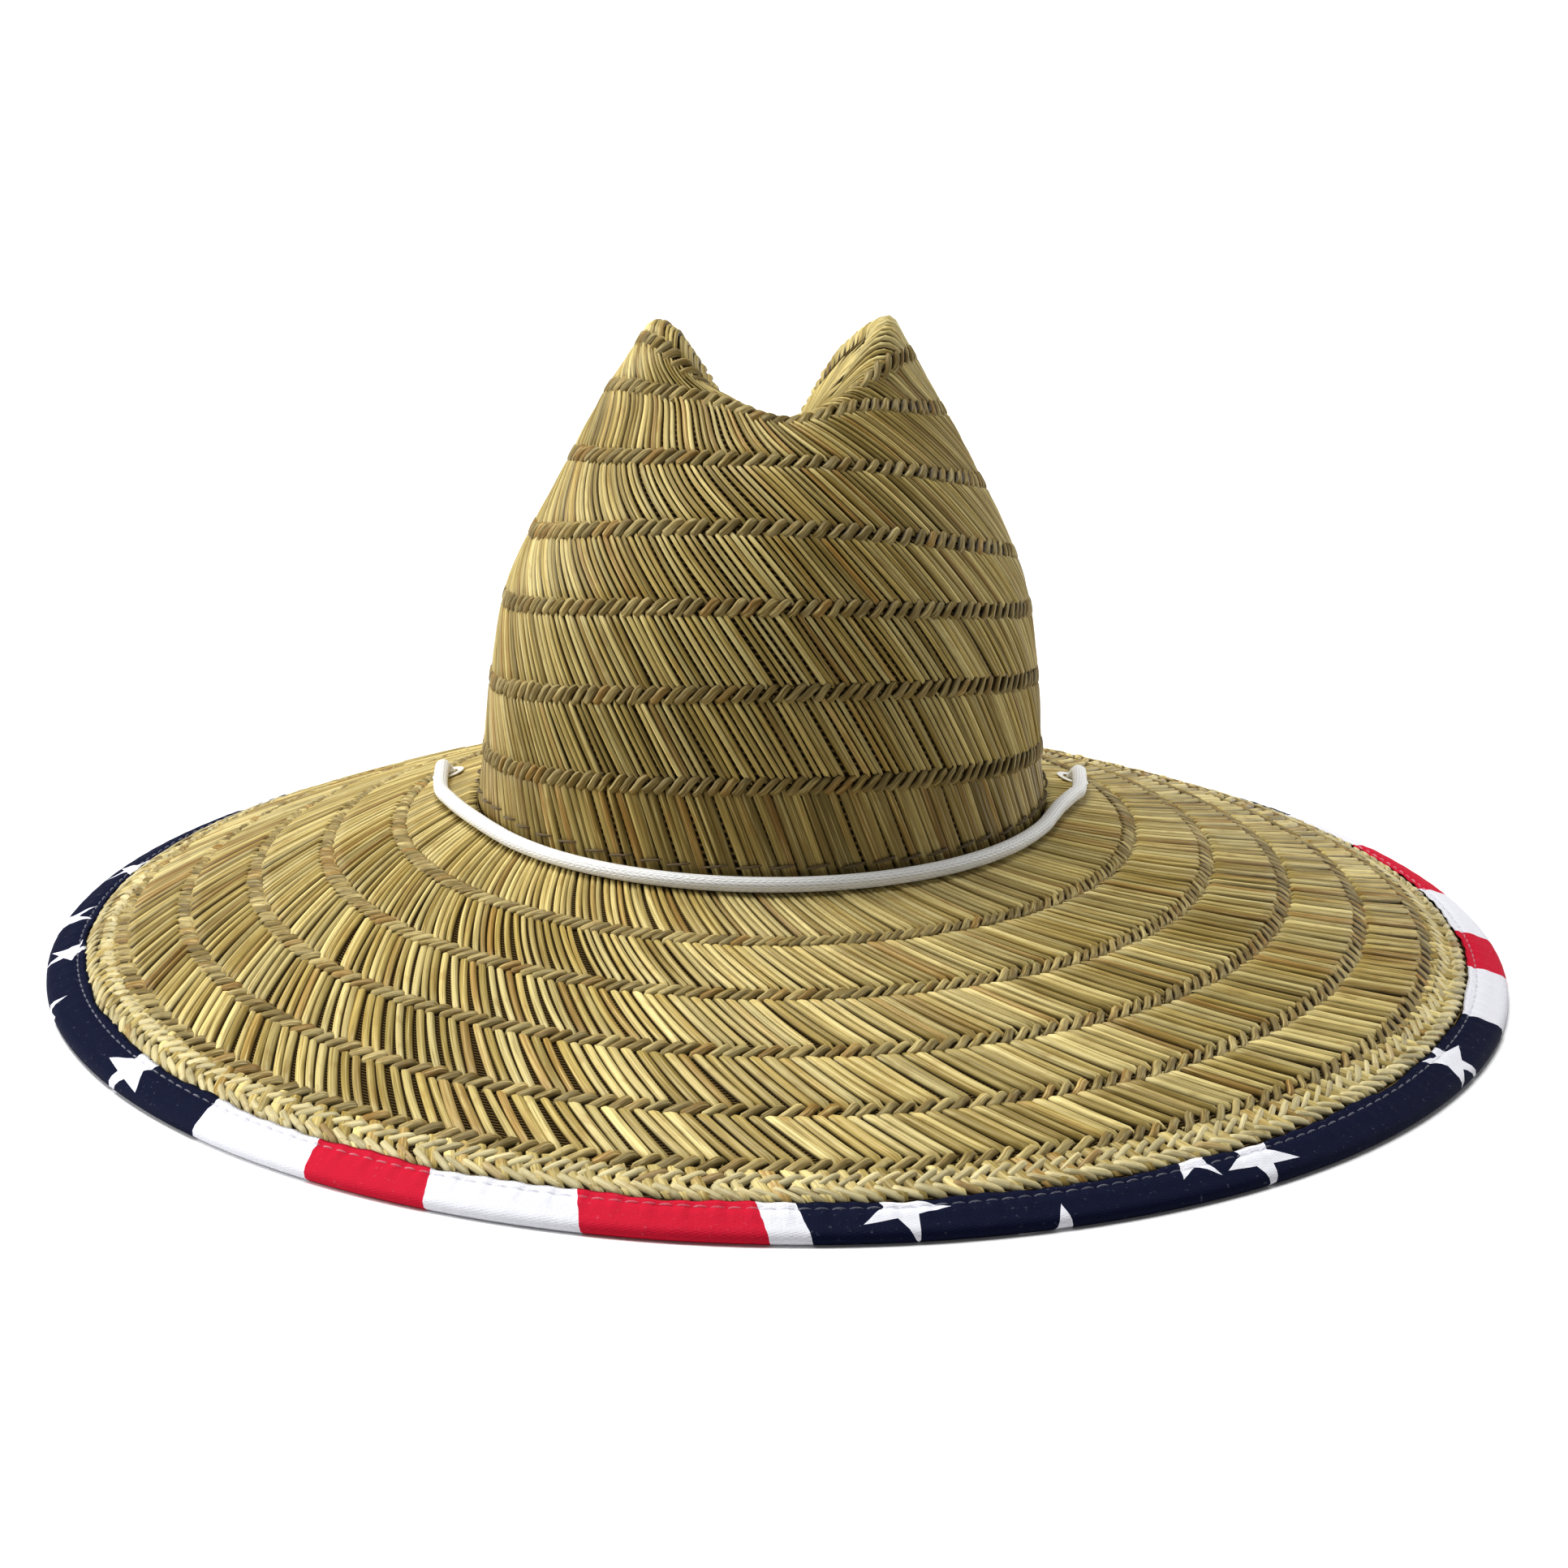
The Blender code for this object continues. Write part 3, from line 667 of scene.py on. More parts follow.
@dataclass
class HatForm:
    """The smooth surface of crown and brim that the straws lie on."""

    brim_half_width: float = 0.222
    brim_half_length: float = 0.246
    brim_drop: float = 0.048
    brim_curl: float = 0.15
    crown_shift: float = -0.0044
    crown_lean: float = 0.017
    row_skew: float = 0.24
    seam_height: float = 0.0510
    loops: tuple = (
        oval_loop(87, 98, 98, (0, 0, 0)),
        oval_loop(84.6, 95, 95, (29.5, 17, 18)),
        oval_loop(82.6, 93, 92, (56.5, 39, 38)),
        oval_loop(79.2, 88, 88, (80, 62, 58)),
        oval_loop(72.8, 77, 82, (100.5, 80, 74)),
        oval_loop(61.4, 62, 72, (117, 103, 86)),
        [(0, -46, 126), (21, -41, 130.5), (39, -25, 129), (50, 2, 124), (44, 32, 113),
         (26, 54, 99), (0, 60, 93)],
        [(0, -37, 122), (21, -34, 133), (35, -24, 142), (40.5, 3, 139), (36, 30, 126),
         (21, 48, 105), (0, 54, 96)],
        [(0, -30, 119), (16, -27, 127.5), (30, -20, 147.6), (33.5, 5, 146.4), (26, 27, 134),
         (13, 38, 109), (0, 40, 97)],
        [(0, -20, 115), (8, -17, 118), (20, -10, 132), (22.5, 5, 132), (15, 18, 119),
         (8, 25, 104), (0, 27, 99)],
        [(0, -8, 110), (4, -6, 110), (8, -2, 112), (8.5, 5, 111), (7, 11, 107),
         (3.5, 15, 104), (0, 17, 101)],
    )
    centre: tuple = (0, 5, 106)
    table: np.ndarray = field(init=False, repr=False)

    def __post_init__(self) -> None:
        """Complete the loops and add the ones past both ends."""
        rings = []
        for half in self.loops:
            right = np.array(half, float) * MM
            left = right[5:0:-1] * np.array((-1.0, 1.0, 1.0))
            rings.append(np.concatenate((right, left)))
        rings.append(np.tile(np.array(self.centre, float) * MM, (12, 1)))
        rings.insert(0, 2 * rings[0] - rings[1])
        rings.append(np.roll(rings[-2], 6, axis=0))
        self.table = np.array(rings)

    @staticmethod
    def weights(f: np.ndarray) -> np.ndarray:
        """Weights of a smooth curve's four control points.

        Args:
            f: place between the second and the third point.

        Returns:
            Four weights for each place.
        """
        return 0.5 * np.stack((-f + 2 * f ** 2 - f ** 3, 2 - 5 * f ** 2 + 3 * f ** 3,
                               f + 4 * f ** 2 - 3 * f ** 3, f ** 3 - f ** 2), axis=-1)

    def crown(self, u: np.ndarray, t: np.ndarray) -> np.ndarray:
        """Points on the crown.

        Args:
            u: angle from the front in radians, growing to the right.
            t: level, 0 the seam, 1 to 7 the rows of twining, 11 the dent's centre.

        Returns:
            Points in metres above the seam's plane.
        """
        part = np.clip((t - 2.0) / 2.0, 0.0, 1.0) * np.clip((9.0 - t) / 1.5, 0.0, 1.0)
        t = np.clip(t - self.row_skew * part * np.sin(u), -0.3, 10.999)
        k = np.floor(t).astype(int)
        k = np.clip(k, 0, 10)
        place = (u / TAU * 12.0) % 12.0
        i = np.floor(place).astype(int)
        wt = self.weights(t - k)
        wu = self.weights(place - i)
        out = np.zeros(np.broadcast(u, t).shape + (3,))
        for a in range(4):
            for b in range(4):
                control = self.table[k + a, (i + b - 1) % 12]
                out += control * (wt[..., a] * wu[..., b])[..., None]
        out[..., 0] += self.crown_shift + self.crown_lean * np.maximum(out[..., 2], 0.0)
        return out

    def brim(self, u: np.ndarray, s: np.ndarray) -> np.ndarray:
        """Points on the brim's top.

        Args:
            u: angle from the front in radians.
            s: 0 at the seam, 1 at the straw's edge.

        Returns:
            Points in metres above the seam's plane.
        """
        inner = self.crown(u, np.zeros_like(u))
        edge_x = self.brim_half_width * np.sin(u)
        edge_y = -self.brim_half_length * np.cos(u)
        fall = (1 - self.brim_curl) * s + self.brim_curl * s * s
        return np.stack((inner[..., 0] + (edge_x - inner[..., 0]) * s,
                         inner[..., 1] + (edge_y - inner[..., 1]) * s,
                         -self.brim_drop * fall), axis=-1)

    def point(self, region: Region, u: np.ndarray, v: np.ndarray) -> np.ndarray:
        """Points on either surface, in the hat's frame.

        Args:
            region: crown or brim.
            u: angle from the front.
            v: level on the crown or share of the brim.

        Returns:
            Points in metres.
        """
        out = self.crown(u, v) if region is Region.CROWN else self.brim(u, v)
        return out + np.array((0.0, 0.0, self.seam_height))

    def frame(self, region: Region, u: np.ndarray, v: np.ndarray) -> tuple:
        """Points with their directions.

        Args:
            region: crown or brim.
            u: angle from the front.
            v: level or share.

        Returns:
            Points, change per unit of u, change per unit of v, and outward normals.
        """
        e = 1e-3
        here = self.point(region, u, v)
        du = (self.point(region, u + e, v) - self.point(region, u - e, v)) / (2 * e)
        dv = (self.point(region, u, v + e) - self.point(region, u, v - e)) / (2 * e)
        sign = 1.0 if region is Region.CROWN else -1.0
        normal = np.cross(du, dv) * sign
        length = np.linalg.norm(normal, axis=-1, keepdims=True)
        return here, du, dv, normal / np.maximum(length, 1e-12)

    def lifted(self, region: Region, u: np.ndarray, v: np.ndarray,
               lift: np.ndarray | float) -> np.ndarray:
        """Points off the surface.

        Args:
            region: crown or brim.
            u: angle from the front.
            v: level or share.
            lift: distance along the outward normal.

        Returns:
            Points in metres.
        """
        here, _, _, normal = self.frame(region, u, v)
        return here + normal * np.asarray(lift)[..., None]


# ------------------------------------------------------------------ mesh making
@dataclass
class Patch:
    """A flat grid with coordinates from 0 to 1, ready to be laid on a surface."""

    across: int
    along: int
    places: np.ndarray = field(init=False, repr=False)
    faces: np.ndarray = field(init=False, repr=False)

    def __post_init__(self) -> None:
        """Make the grid with Blender's operator and keep its numbers."""
        bm = bmesh.new()
        bmesh.ops.create_grid(bm, x_segments=self.across, y_segments=self.along, size=0.5)
        bm.verts.index_update()
        self.places = np.array([(v.co.x + 0.5, v.co.y + 0.5) for v in bm.verts])
        self.faces = np.array([[v.index for v in f.verts] for f in bm.faces])
        bm.free()

    def copies(self, n: int) -> np.ndarray:
        """Faces of many copies of the grid, one after another.

        Args:
            n: how many copies.

        Returns:
            The faces, numbered on through the copies.
        """
        shift = np.arange(n)[:, None, None] * len(self.places)
        return (self.faces[None] + shift).reshape(-1, 4)

    def skins(self) -> tuple:
        """Use the grid as both skins of a closed wall.

        Returns:
            Angle round the hat, place through both skins from 0 to 2, whether a point is on
            the first skin, and its place across that skin from 0 to 1.
        """
        through = self.places[:, 1] * 2.0
        first = through <= 1.0
        return self.places[:, 0] * TAU, through, first, np.where(first, through, 2.0 - through)

    def ring_keys(self, pole: int | None = None) -> np.ndarray:
        """Keys for Mesh.weld that close the grid in both directions.

        Args:
            pole: the row that shrinks to a point, if one does.

        Returns:
            One whole number for each point.
        """
        column = np.round(self.places[:, 0] * self.across).astype(int) % self.across
        row = np.round(self.places[:, 1] * self.along).astype(int) % self.along
        if pole is not None:
            column = np.where(row == pole, 0, column)
        return row * 10000 + column


@dataclass
class Mesh:
    """Numbers of one piece's mesh, gathered before it is made."""

    name: str
    points: np.ndarray
    faces: np.ndarray
    maps: dict = field(default_factory=dict)
    strand: np.ndarray | None = None
    outward: np.ndarray | None = None

    def weld(self, keys: np.ndarray) -> None:
        """Join points that stand for the same place, keeping the maps' seams.

        Args:
            keys: one whole number for each point, equal where points join.
        """
        self.maps = {name: values[self.faces] for name, values in self.maps.items()}
        _, first, back = np.unique(keys, return_index=True, return_inverse=True)
        self.points = self.points[first]
        self.faces = back.reshape(-1)[self.faces]
        if self.outward is not None:
            self.outward = self.outward[first]
        if self.strand is not None:
            self.strand = self.strand[first]

    def make(self, material: bpy.types.Material) -> bpy.types.Object:
        """Make the object.

        Args:
            material: its material.

        Returns:
            The object, smooth shaded, at the origin.
        """
        faces = self.faces
        corner_maps = {}
        for name, values in self.maps.items():
            corner_maps[name] = values if values.ndim == 3 else values[faces]
        if self.outward is not None:
            a, b, c = (self.points[faces[:, i]] for i in range(3))
            facing = np.cross(b - a, c - a)
            if np.sum(facing * self.outward[faces[:, 0]]) < 0:
                faces = faces[:, ::-1]
                corner_maps = {name: values[:, ::-1] for name, values in corner_maps.items()}
        mesh = bpy.data.meshes.new(self.name)
        mesh.from_pydata(self.points, [], faces.tolist(), shade_flat=False)
        for name, values in corner_maps.items():
            layer = mesh.uv_layers.new(name=name)
            layer.uv.foreach_set("vector", np.ascontiguousarray(values, np.float32).reshape(-1))
        if self.strand is not None:
            attribute = mesh.color_attributes.new("strand", "FLOAT_COLOR", "POINT")
            color = np.ones((len(self.points), 4), np.float32)
            color[:, :3] = self.strand
            attribute.data.foreach_set("color", color.reshape(-1))
        mesh.materials.append(material)
        return link(self.name, mesh)


def link(name: str, mesh: bpy.types.Mesh) -> bpy.types.Object:
    """Put a mesh in the scene.

    Args:
        name: the object's name.
        mesh: its mesh.

    Returns:
        The object.
    """
    piece = bpy.data.objects.new(name, mesh)
    bpy.context.scene.collection.objects.link(piece)
    return piece


def settle(piece: bpy.types.Object, body: str, slot: str, *nodes: str) -> bpy.types.Object:
    """Say what a piece rides on and what it stands for.

    Args:
        piece: the piece.
        body: the body it rides on.
        slot: not used.
        *nodes: the solids it stands for.

    Returns:
        The piece.
    """
    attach(piece, body)
    if nodes:
        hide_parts(*nodes)
    LOG.info("%s: %d faces", piece.name, len(piece.data.polygons))
    return piece


def atlas(count: int, places: np.ndarray, shape: float = 6.0) -> np.ndarray:
    """Lay out one cell for each strand in a square map.

    Args:
        count: how many strands.
        places: the strand's own coordinates, from 0 to 1.
        shape: how much longer than wide a strand is.

    Returns:
        Map coordinates for each strand and point.
    """
    columns = max(1, round(math.sqrt(count * shape)))
    rows = math.ceil(count / columns)
    number = np.arange(count)
    corner = np.stack((number % columns, number // columns), axis=-1)[:, None, :]
    inner = 0.12 + places[None] * 0.76
    return (corner + inner) / np.array((columns, rows))


def lay_many(name: str, patch: Patch, points: np.ndarray, normal: np.ndarray,
             material: bpy.types.Material, shape: float,
             strand: np.ndarray | None = None) -> bpy.types.Object:
    """Make one piece of many equal strands or stitches.

    Args:
        name: the piece's name.
        patch: the grid that each of them is made from.
        points: their points, one row for each.
        normal: the way out at each point.
        material: the piece's material.
        shape: how much longer than wide each is.
        strand: each one's colouring, if they have one.

    Returns:
        The piece.
    """
    n = len(points)
    maps = {"OFBake": atlas(n, patch.places, shape).reshape(-1, 2)}
    if strand is not None:
        maps["Strand"] = np.tile(patch.places, (n, 1))
        strand = np.repeat(strand, len(patch.places), axis=0)
    mesh = Mesh(name, points.reshape(-1, 3), patch.copies(n), maps, strand,
                normal.reshape(-1, 3))
    return mesh.make(material)


def ground_wall(name: str, form: HatForm, region: Region, patch: Patch, levels: tuple,
                wall: float, material: bpy.types.Material,
                pole: int | None = None) -> bpy.types.Object:
    """Make the closed thin wall under the straws.

    Args:
        name: the piece's name.
        form: the hat's surface.
        region: the crown or the brim.
        patch: the grid for both skins.
        levels: where the wall starts and how far it reaches.
        wall: its thickness.
        material: its material.
        pole: the patch's row at the crown's top.

    Returns:
        The wall.
    """
    u, through, outside, across = patch.skins()
    level = across * levels[1] + levels[0]
    points = form.lifted(region, u, level, np.where(outside, -0.0003, -wall))
    _, _, _, normal = form.frame(region, u, level)
    normal = np.where(outside[:, None], normal, -normal)
    maps = {"Weave": np.stack((patch.places[:, 0], through), axis=-1)}
    mesh = Mesh(name, points, patch.faces, maps, None, normal)
    mesh.weld(patch.ring_keys(pole))
    return mesh.make(material)


@dataclass
class StrawBand:
    """One band of straws between two rows of twining."""

    name: str
    region: Region
    low: float
    high: float
    count: int
    drift: float
    height: float = 0.0010
    fill: float = 0.91
    tone: tuple = (0.15, 0.85)
    browned: float = 0.1
    seed: int = 1
    sink: float = 0.0006
    taper: float = 0.0
    patch: Patch = field(default_factory=lambda: Patch(4, 8))

    def build(self, form: HatForm, material: bpy.types.Material) -> bpy.types.Object:
        """Lay the straws.

        Args:
            form: the hat's surface.
            material: the straw's material.

        Returns:
            The band as one object.
        """
        rng = np.random.default_rng(self.seed)
        n = self.count
        pitch = TAU / n
        a = np.sin((self.patch.places[None, :, 0] - 0.5) * math.pi)
        b = self.patch.places[None, :, 1]
        start = (np.arange(n) + rng.uniform(-0.10, 0.10, n))[:, None] * pitch
        lean = self.drift + rng.uniform(-0.24, 0.24, n)[:, None] * pitch
        bow = rng.uniform(-0.07, 0.07, n)[:, None] * pitch
        wide = np.clip(rng.normal(self.fill, 0.09, n), 0.62, 1.12)[:, None]
        tall = rng.uniform(0.82, 1.15, n)[:, None]
        u_mid = start + lean * b + bow * np.sin(b * math.pi)
        v = self.low + (self.high - self.low) * b
        v = np.broadcast_to(v, u_mid.shape)
        narrow = 1.0 - self.taper * (1.0 - b if self.region is Region.CROWN else b)
        tip = np.abs(2.0 * b - 1.0)
        u = u_mid + a * 0.5 * pitch * wide * narrow * (1.0 - 0.45 * tip ** 12)
        body = np.sqrt(np.clip(1.0 - np.abs(a) ** 3.6, 0.0, 1.0))
        ends = np.clip(1.0 - tip ** 16, 0.0, 1.0) ** 0.5
        lift = self.height * tall * body * ends - self.sink * (1.0 - body * ends)
        lift = lift + self.height * 0.16 * a * body
        lift = lift + rng.uniform(-0.00015, 0.00020, n)[:, None]
        here, _, _, normal = form.frame(self.region, u, v)
        points = here + normal * lift[..., None]
        return lay_many(self.name, self.patch, points, normal, material, 6.0, self.tones(rng, n))

    def tones(self, rng: np.random.Generator, n: int) -> np.ndarray:
        """Choose each straw's colouring.

        Args:
            rng: the random source.
            n: how many straws.

        Returns:
            Tone, hue and shade of each straw.
        """
        low, high = self.tone
        slow = np.convolve(rng.uniform(-1, 1, n + 8), np.ones(9) / 9, "valid")[:n]
        tone = np.clip(rng.uniform(low, high, n) + slow * 0.35, 0.0, 1.0)
        hue = np.where(rng.uniform(0, 1, n) < self.browned, rng.uniform(0.85, 1.0, n),
                       rng.uniform(0.0, 0.8, n))
        shade = rng.uniform(0.35, 1.0, n)
        return np.stack((tone, hue, shade), axis=-1)


@dataclass
class TwineRow:
    """One row of short strands that bind the straws, each laid over the next."""

    name: str
    region: Region
    level: float
    count: int
    length: float = 0.0086
    width: float = 0.0029
    height: float = 0.0010
    base: float = 0.0004
    slant: float = 39.0
    bend: float = 0.13
    tuck: float = 0.0
    offset: float = 0.0
    tone: tuple = (0.10, 0.55)
    browned: float = 0.18
    seed: int = 1
    patch: Patch = field(default_factory=lambda: Patch(4, 8))

    def build(self, form: HatForm, material: bpy.types.Material) -> bpy.types.Object:
        """Lay the strands.

        Args:
            form: the hat's surface.
            material: the straw's material.

        Returns:
            The row as one object.
        """
        points, normal, strand = self.strands(form)
        return lay_many(self.name, self.patch, points, normal, material, 2.5, strand)

    def strands(self, form: HatForm) -> tuple:
        """Work out all strands of the row.

        Args:
            form: the hat's surface.

        Returns:
            Points, normals and each strand's colouring.
        """
        rng = np.random.default_rng(self.seed)
        n = self.count
        a = np.sin((self.patch.places[None, :, 0] - 0.5) * math.pi)
        b = self.patch.places[None, :, 1] * 2.0 - 1.0
        at = (np.arange(n) + 0.5 + rng.uniform(-0.10, 0.10, n)) * TAU / n
        level = np.full(n, self.level)
        _, du, dv, _ = form.frame(self.region, at, level)
        along_u = np.linalg.norm(du, axis=-1)[:, None]
        along_v = np.linalg.norm(dv, axis=-1)[:, None]
        up = 1.0 if self.region is Region.CROWN else -1.0
        turn = np.radians(self.slant + rng.normal(0.0, 4.0, n))[:, None]
        long = (self.length * rng.uniform(0.92, 1.08, n))[:, None]
        wide = (self.width * rng.uniform(0.85, 1.15, n))[:, None]
        shape = np.clip(1.0 - np.abs(b) ** 3.2, 0.0, 1.0) ** 0.5
        x = b * long * 0.5
        y = a * wide * 0.5 * (0.35 + 0.65 * shape) + self.bend * wide * np.sin(b * math.pi)
        go = x * np.cos(turn) - y * np.sin(turn)
        rise = (x * np.sin(turn) + y * np.cos(turn)) * up + self.offset
        u = at[:, None] + go / along_u
        v = self.level + rise / along_v
        round_off = np.sqrt(np.clip(1.0 - np.abs(a) ** 3.4, 0.0, 1.0))
        tall = (self.height * rng.uniform(0.88, 1.12, n))[:, None]
        lift = self.base + tall * (round_off + 0.35 * a) * shape - 0.0009 * (1.0 - shape)
        lift = lift - 0.0006 * (1.0 - round_off) + self.tuck * b
        here, _, _, normal = form.frame(self.region, u, v)
        points = here + normal * lift[..., None]
        tone = np.clip(rng.uniform(self.tone[0], self.tone[1], n), 0.0, 1.0)
        hue = np.where(rng.uniform(0, 1, n) < self.browned, rng.uniform(0.85, 1.0, n),
                       rng.uniform(0.0, 0.8, n))
        return points, normal, np.stack((tone, hue, rng.uniform(0.3, 0.9, n)), axis=-1)


# ------------------------------------------------------------------ sub-assemblies
@dataclass
class WovenCrown:
    """The crown: hidden ground layer, bands of straw and rows of twining."""

    form: HatForm
    levels: tuple = (0.0, 1.0, 2.0, 3.0, 4.0, 5.0, 6.0, 7.0, 8.6, 10.7)
    counts: tuple = (190, 226, 214, 198, 170, 146, 122, 102, 58)
    drifts: tuple = (0.13, 0.19, 0.21, 0.24, 0.29, 0.30, 0.32, 0.34, 0.30)
    twine_share: float = 0.62
    wall: float = 0.0018

    def build(self, straw: bpy.types.Material, flat: bpy.types.Material,
              twine: bpy.types.Material, ground: bpy.types.Material) -> None:
        """Make all pieces of the crown.

        Args:
            straw: material of the straws.
            flat: material of the flat straws next to the seam.
            twine: material of the twining.
            ground: material of the hidden layer.
        """
        under = ground_wall("crown_ground", self.form, Region.CROWN, Patch(180, 120),
                            (0.0, 10.99), self.wall, ground, pole=60)
        settle(under, "hat", "straw", "woven_crown")
        for i, count in enumerate(self.counts):
            band = StrawBand("crown_straws_%d" % i, Region.CROWN, self.levels[i + 1],
                             self.levels[i], count, self.drifts[i], seed=100 + i)
            if i == 0:
                band.height = 0.0006
                band.fill = 1.05
                band.sink = 0.0002
                band.tone = (0.0, 0.50)
                band.browned = 0.22
            # Painted light: the top bands get paler straws, where light falls on the crown's top.
            if i >= 7:
                band.tone = (0.50, 1.0)
            settle(band.build(self.form, flat if i == 0 else straw), "hat", "straw",
                   "woven_crown")
        for row in range(1, 8):
            count = int(self.counts[row] * self.twine_share)
            twining = TwineRow("crown_twining_%d" % row, Region.CROWN, float(row), count,
                               seed=200 + row)
            settle(twining.build(self.form, twine), "hat", "twined_straw",
                   "crown_twine_row_%d" % row)


@dataclass
class WovenBrim:
    """The brim: hidden ground layer, bands of straw, rows of twining and the plait."""

    form: HatForm
    rows: tuple = (0.188, 0.357, 0.527, 0.693, 0.838)
    plait_row: float = 0.895
    straws: int = 262
    twines: int = 222
    drifts: tuple = (0.150, 0.150, 0.130, 0.110, 0.095, 0.03)
    wall: float = 0.0018

    def build(self, straw: bpy.types.Material, flat: bpy.types.Material,
              twine: bpy.types.Material, pale: bpy.types.Material,
              ground: bpy.types.Material) -> None:
        """Make all pieces of the brim.

        Args:
            straw: material of the straws.
            flat: material of the flat straws next to the seam.
            twine: material of the twining.
            pale: material of the plait.
            ground: material of the hidden layer.
        """
        under = ground_wall("brim_ground", self.form, Region.BRIM, Patch(240, 64),
                            (-0.02, 1.02), self.wall, ground)
        settle(under, "hat", "straw", "woven_brim")
        edges = (0.0,) + self.rows + (0.926,)
        for i in range(6):
            band = StrawBand("brim_straws_%d" % i, Region.BRIM, edges[i], edges[i + 1],
                             self.straws, self.drifts[i], height=0.0014, fill=0.95,
                             tone=(0.30, 1.0), browned=0.12, taper=0.17 - 0.02 * i,
                             seed=300 + i)
            if i == 0:
                band.height = 0.0009
                band.fill = 1.0
                band.tone = (0.40, 1.0)
            if i == 5:
                band.height = 0.0010
            settle(band.build(self.form, flat if i == 0 else straw), "hat", "straw",
                   "woven_brim")
        for i, row in enumerate(self.rows):
            twining = TwineRow("brim_twining_%d" % (i + 1), Region.BRIM, row, self.twines,
                               length=0.0084 + 0.0005 * i, width=0.0025 + 0.0002 * i,
                               height=0.0010, slant=33.0, bend=0.14, tone=(0.15, 0.7),
                               seed=400 + i)
            settle(twining.build(self.form, twine), "hat", "twined_straw",
                   "brim_twine_row_%d" % (i + 1))
        self.plait(pale)

    def plait(self, material: bpy.types.Material) -> None:
        """The pale plait inside the cloth edge: two rows of long strands.

        Args:
            material: its material.
        """
        for side, slant, name in ((1, -29.0, "inner"), (-1, 29.0, "outer")):
            row = TwineRow("plait_" + name, Region.BRIM, self.plait_row, 250,
                           length=0.0112, width=0.0027, height=0.0009, slant=slant, bend=0.06,
                           offset=side * 0.0026 - 0.0003, tone=(0.7, 1.0), browned=0.03,
                           tuck=-0.0005 * side, seed=450 + side)
            settle(row.build(self.form, material), "hat", "pale_straw", "edge_braid")


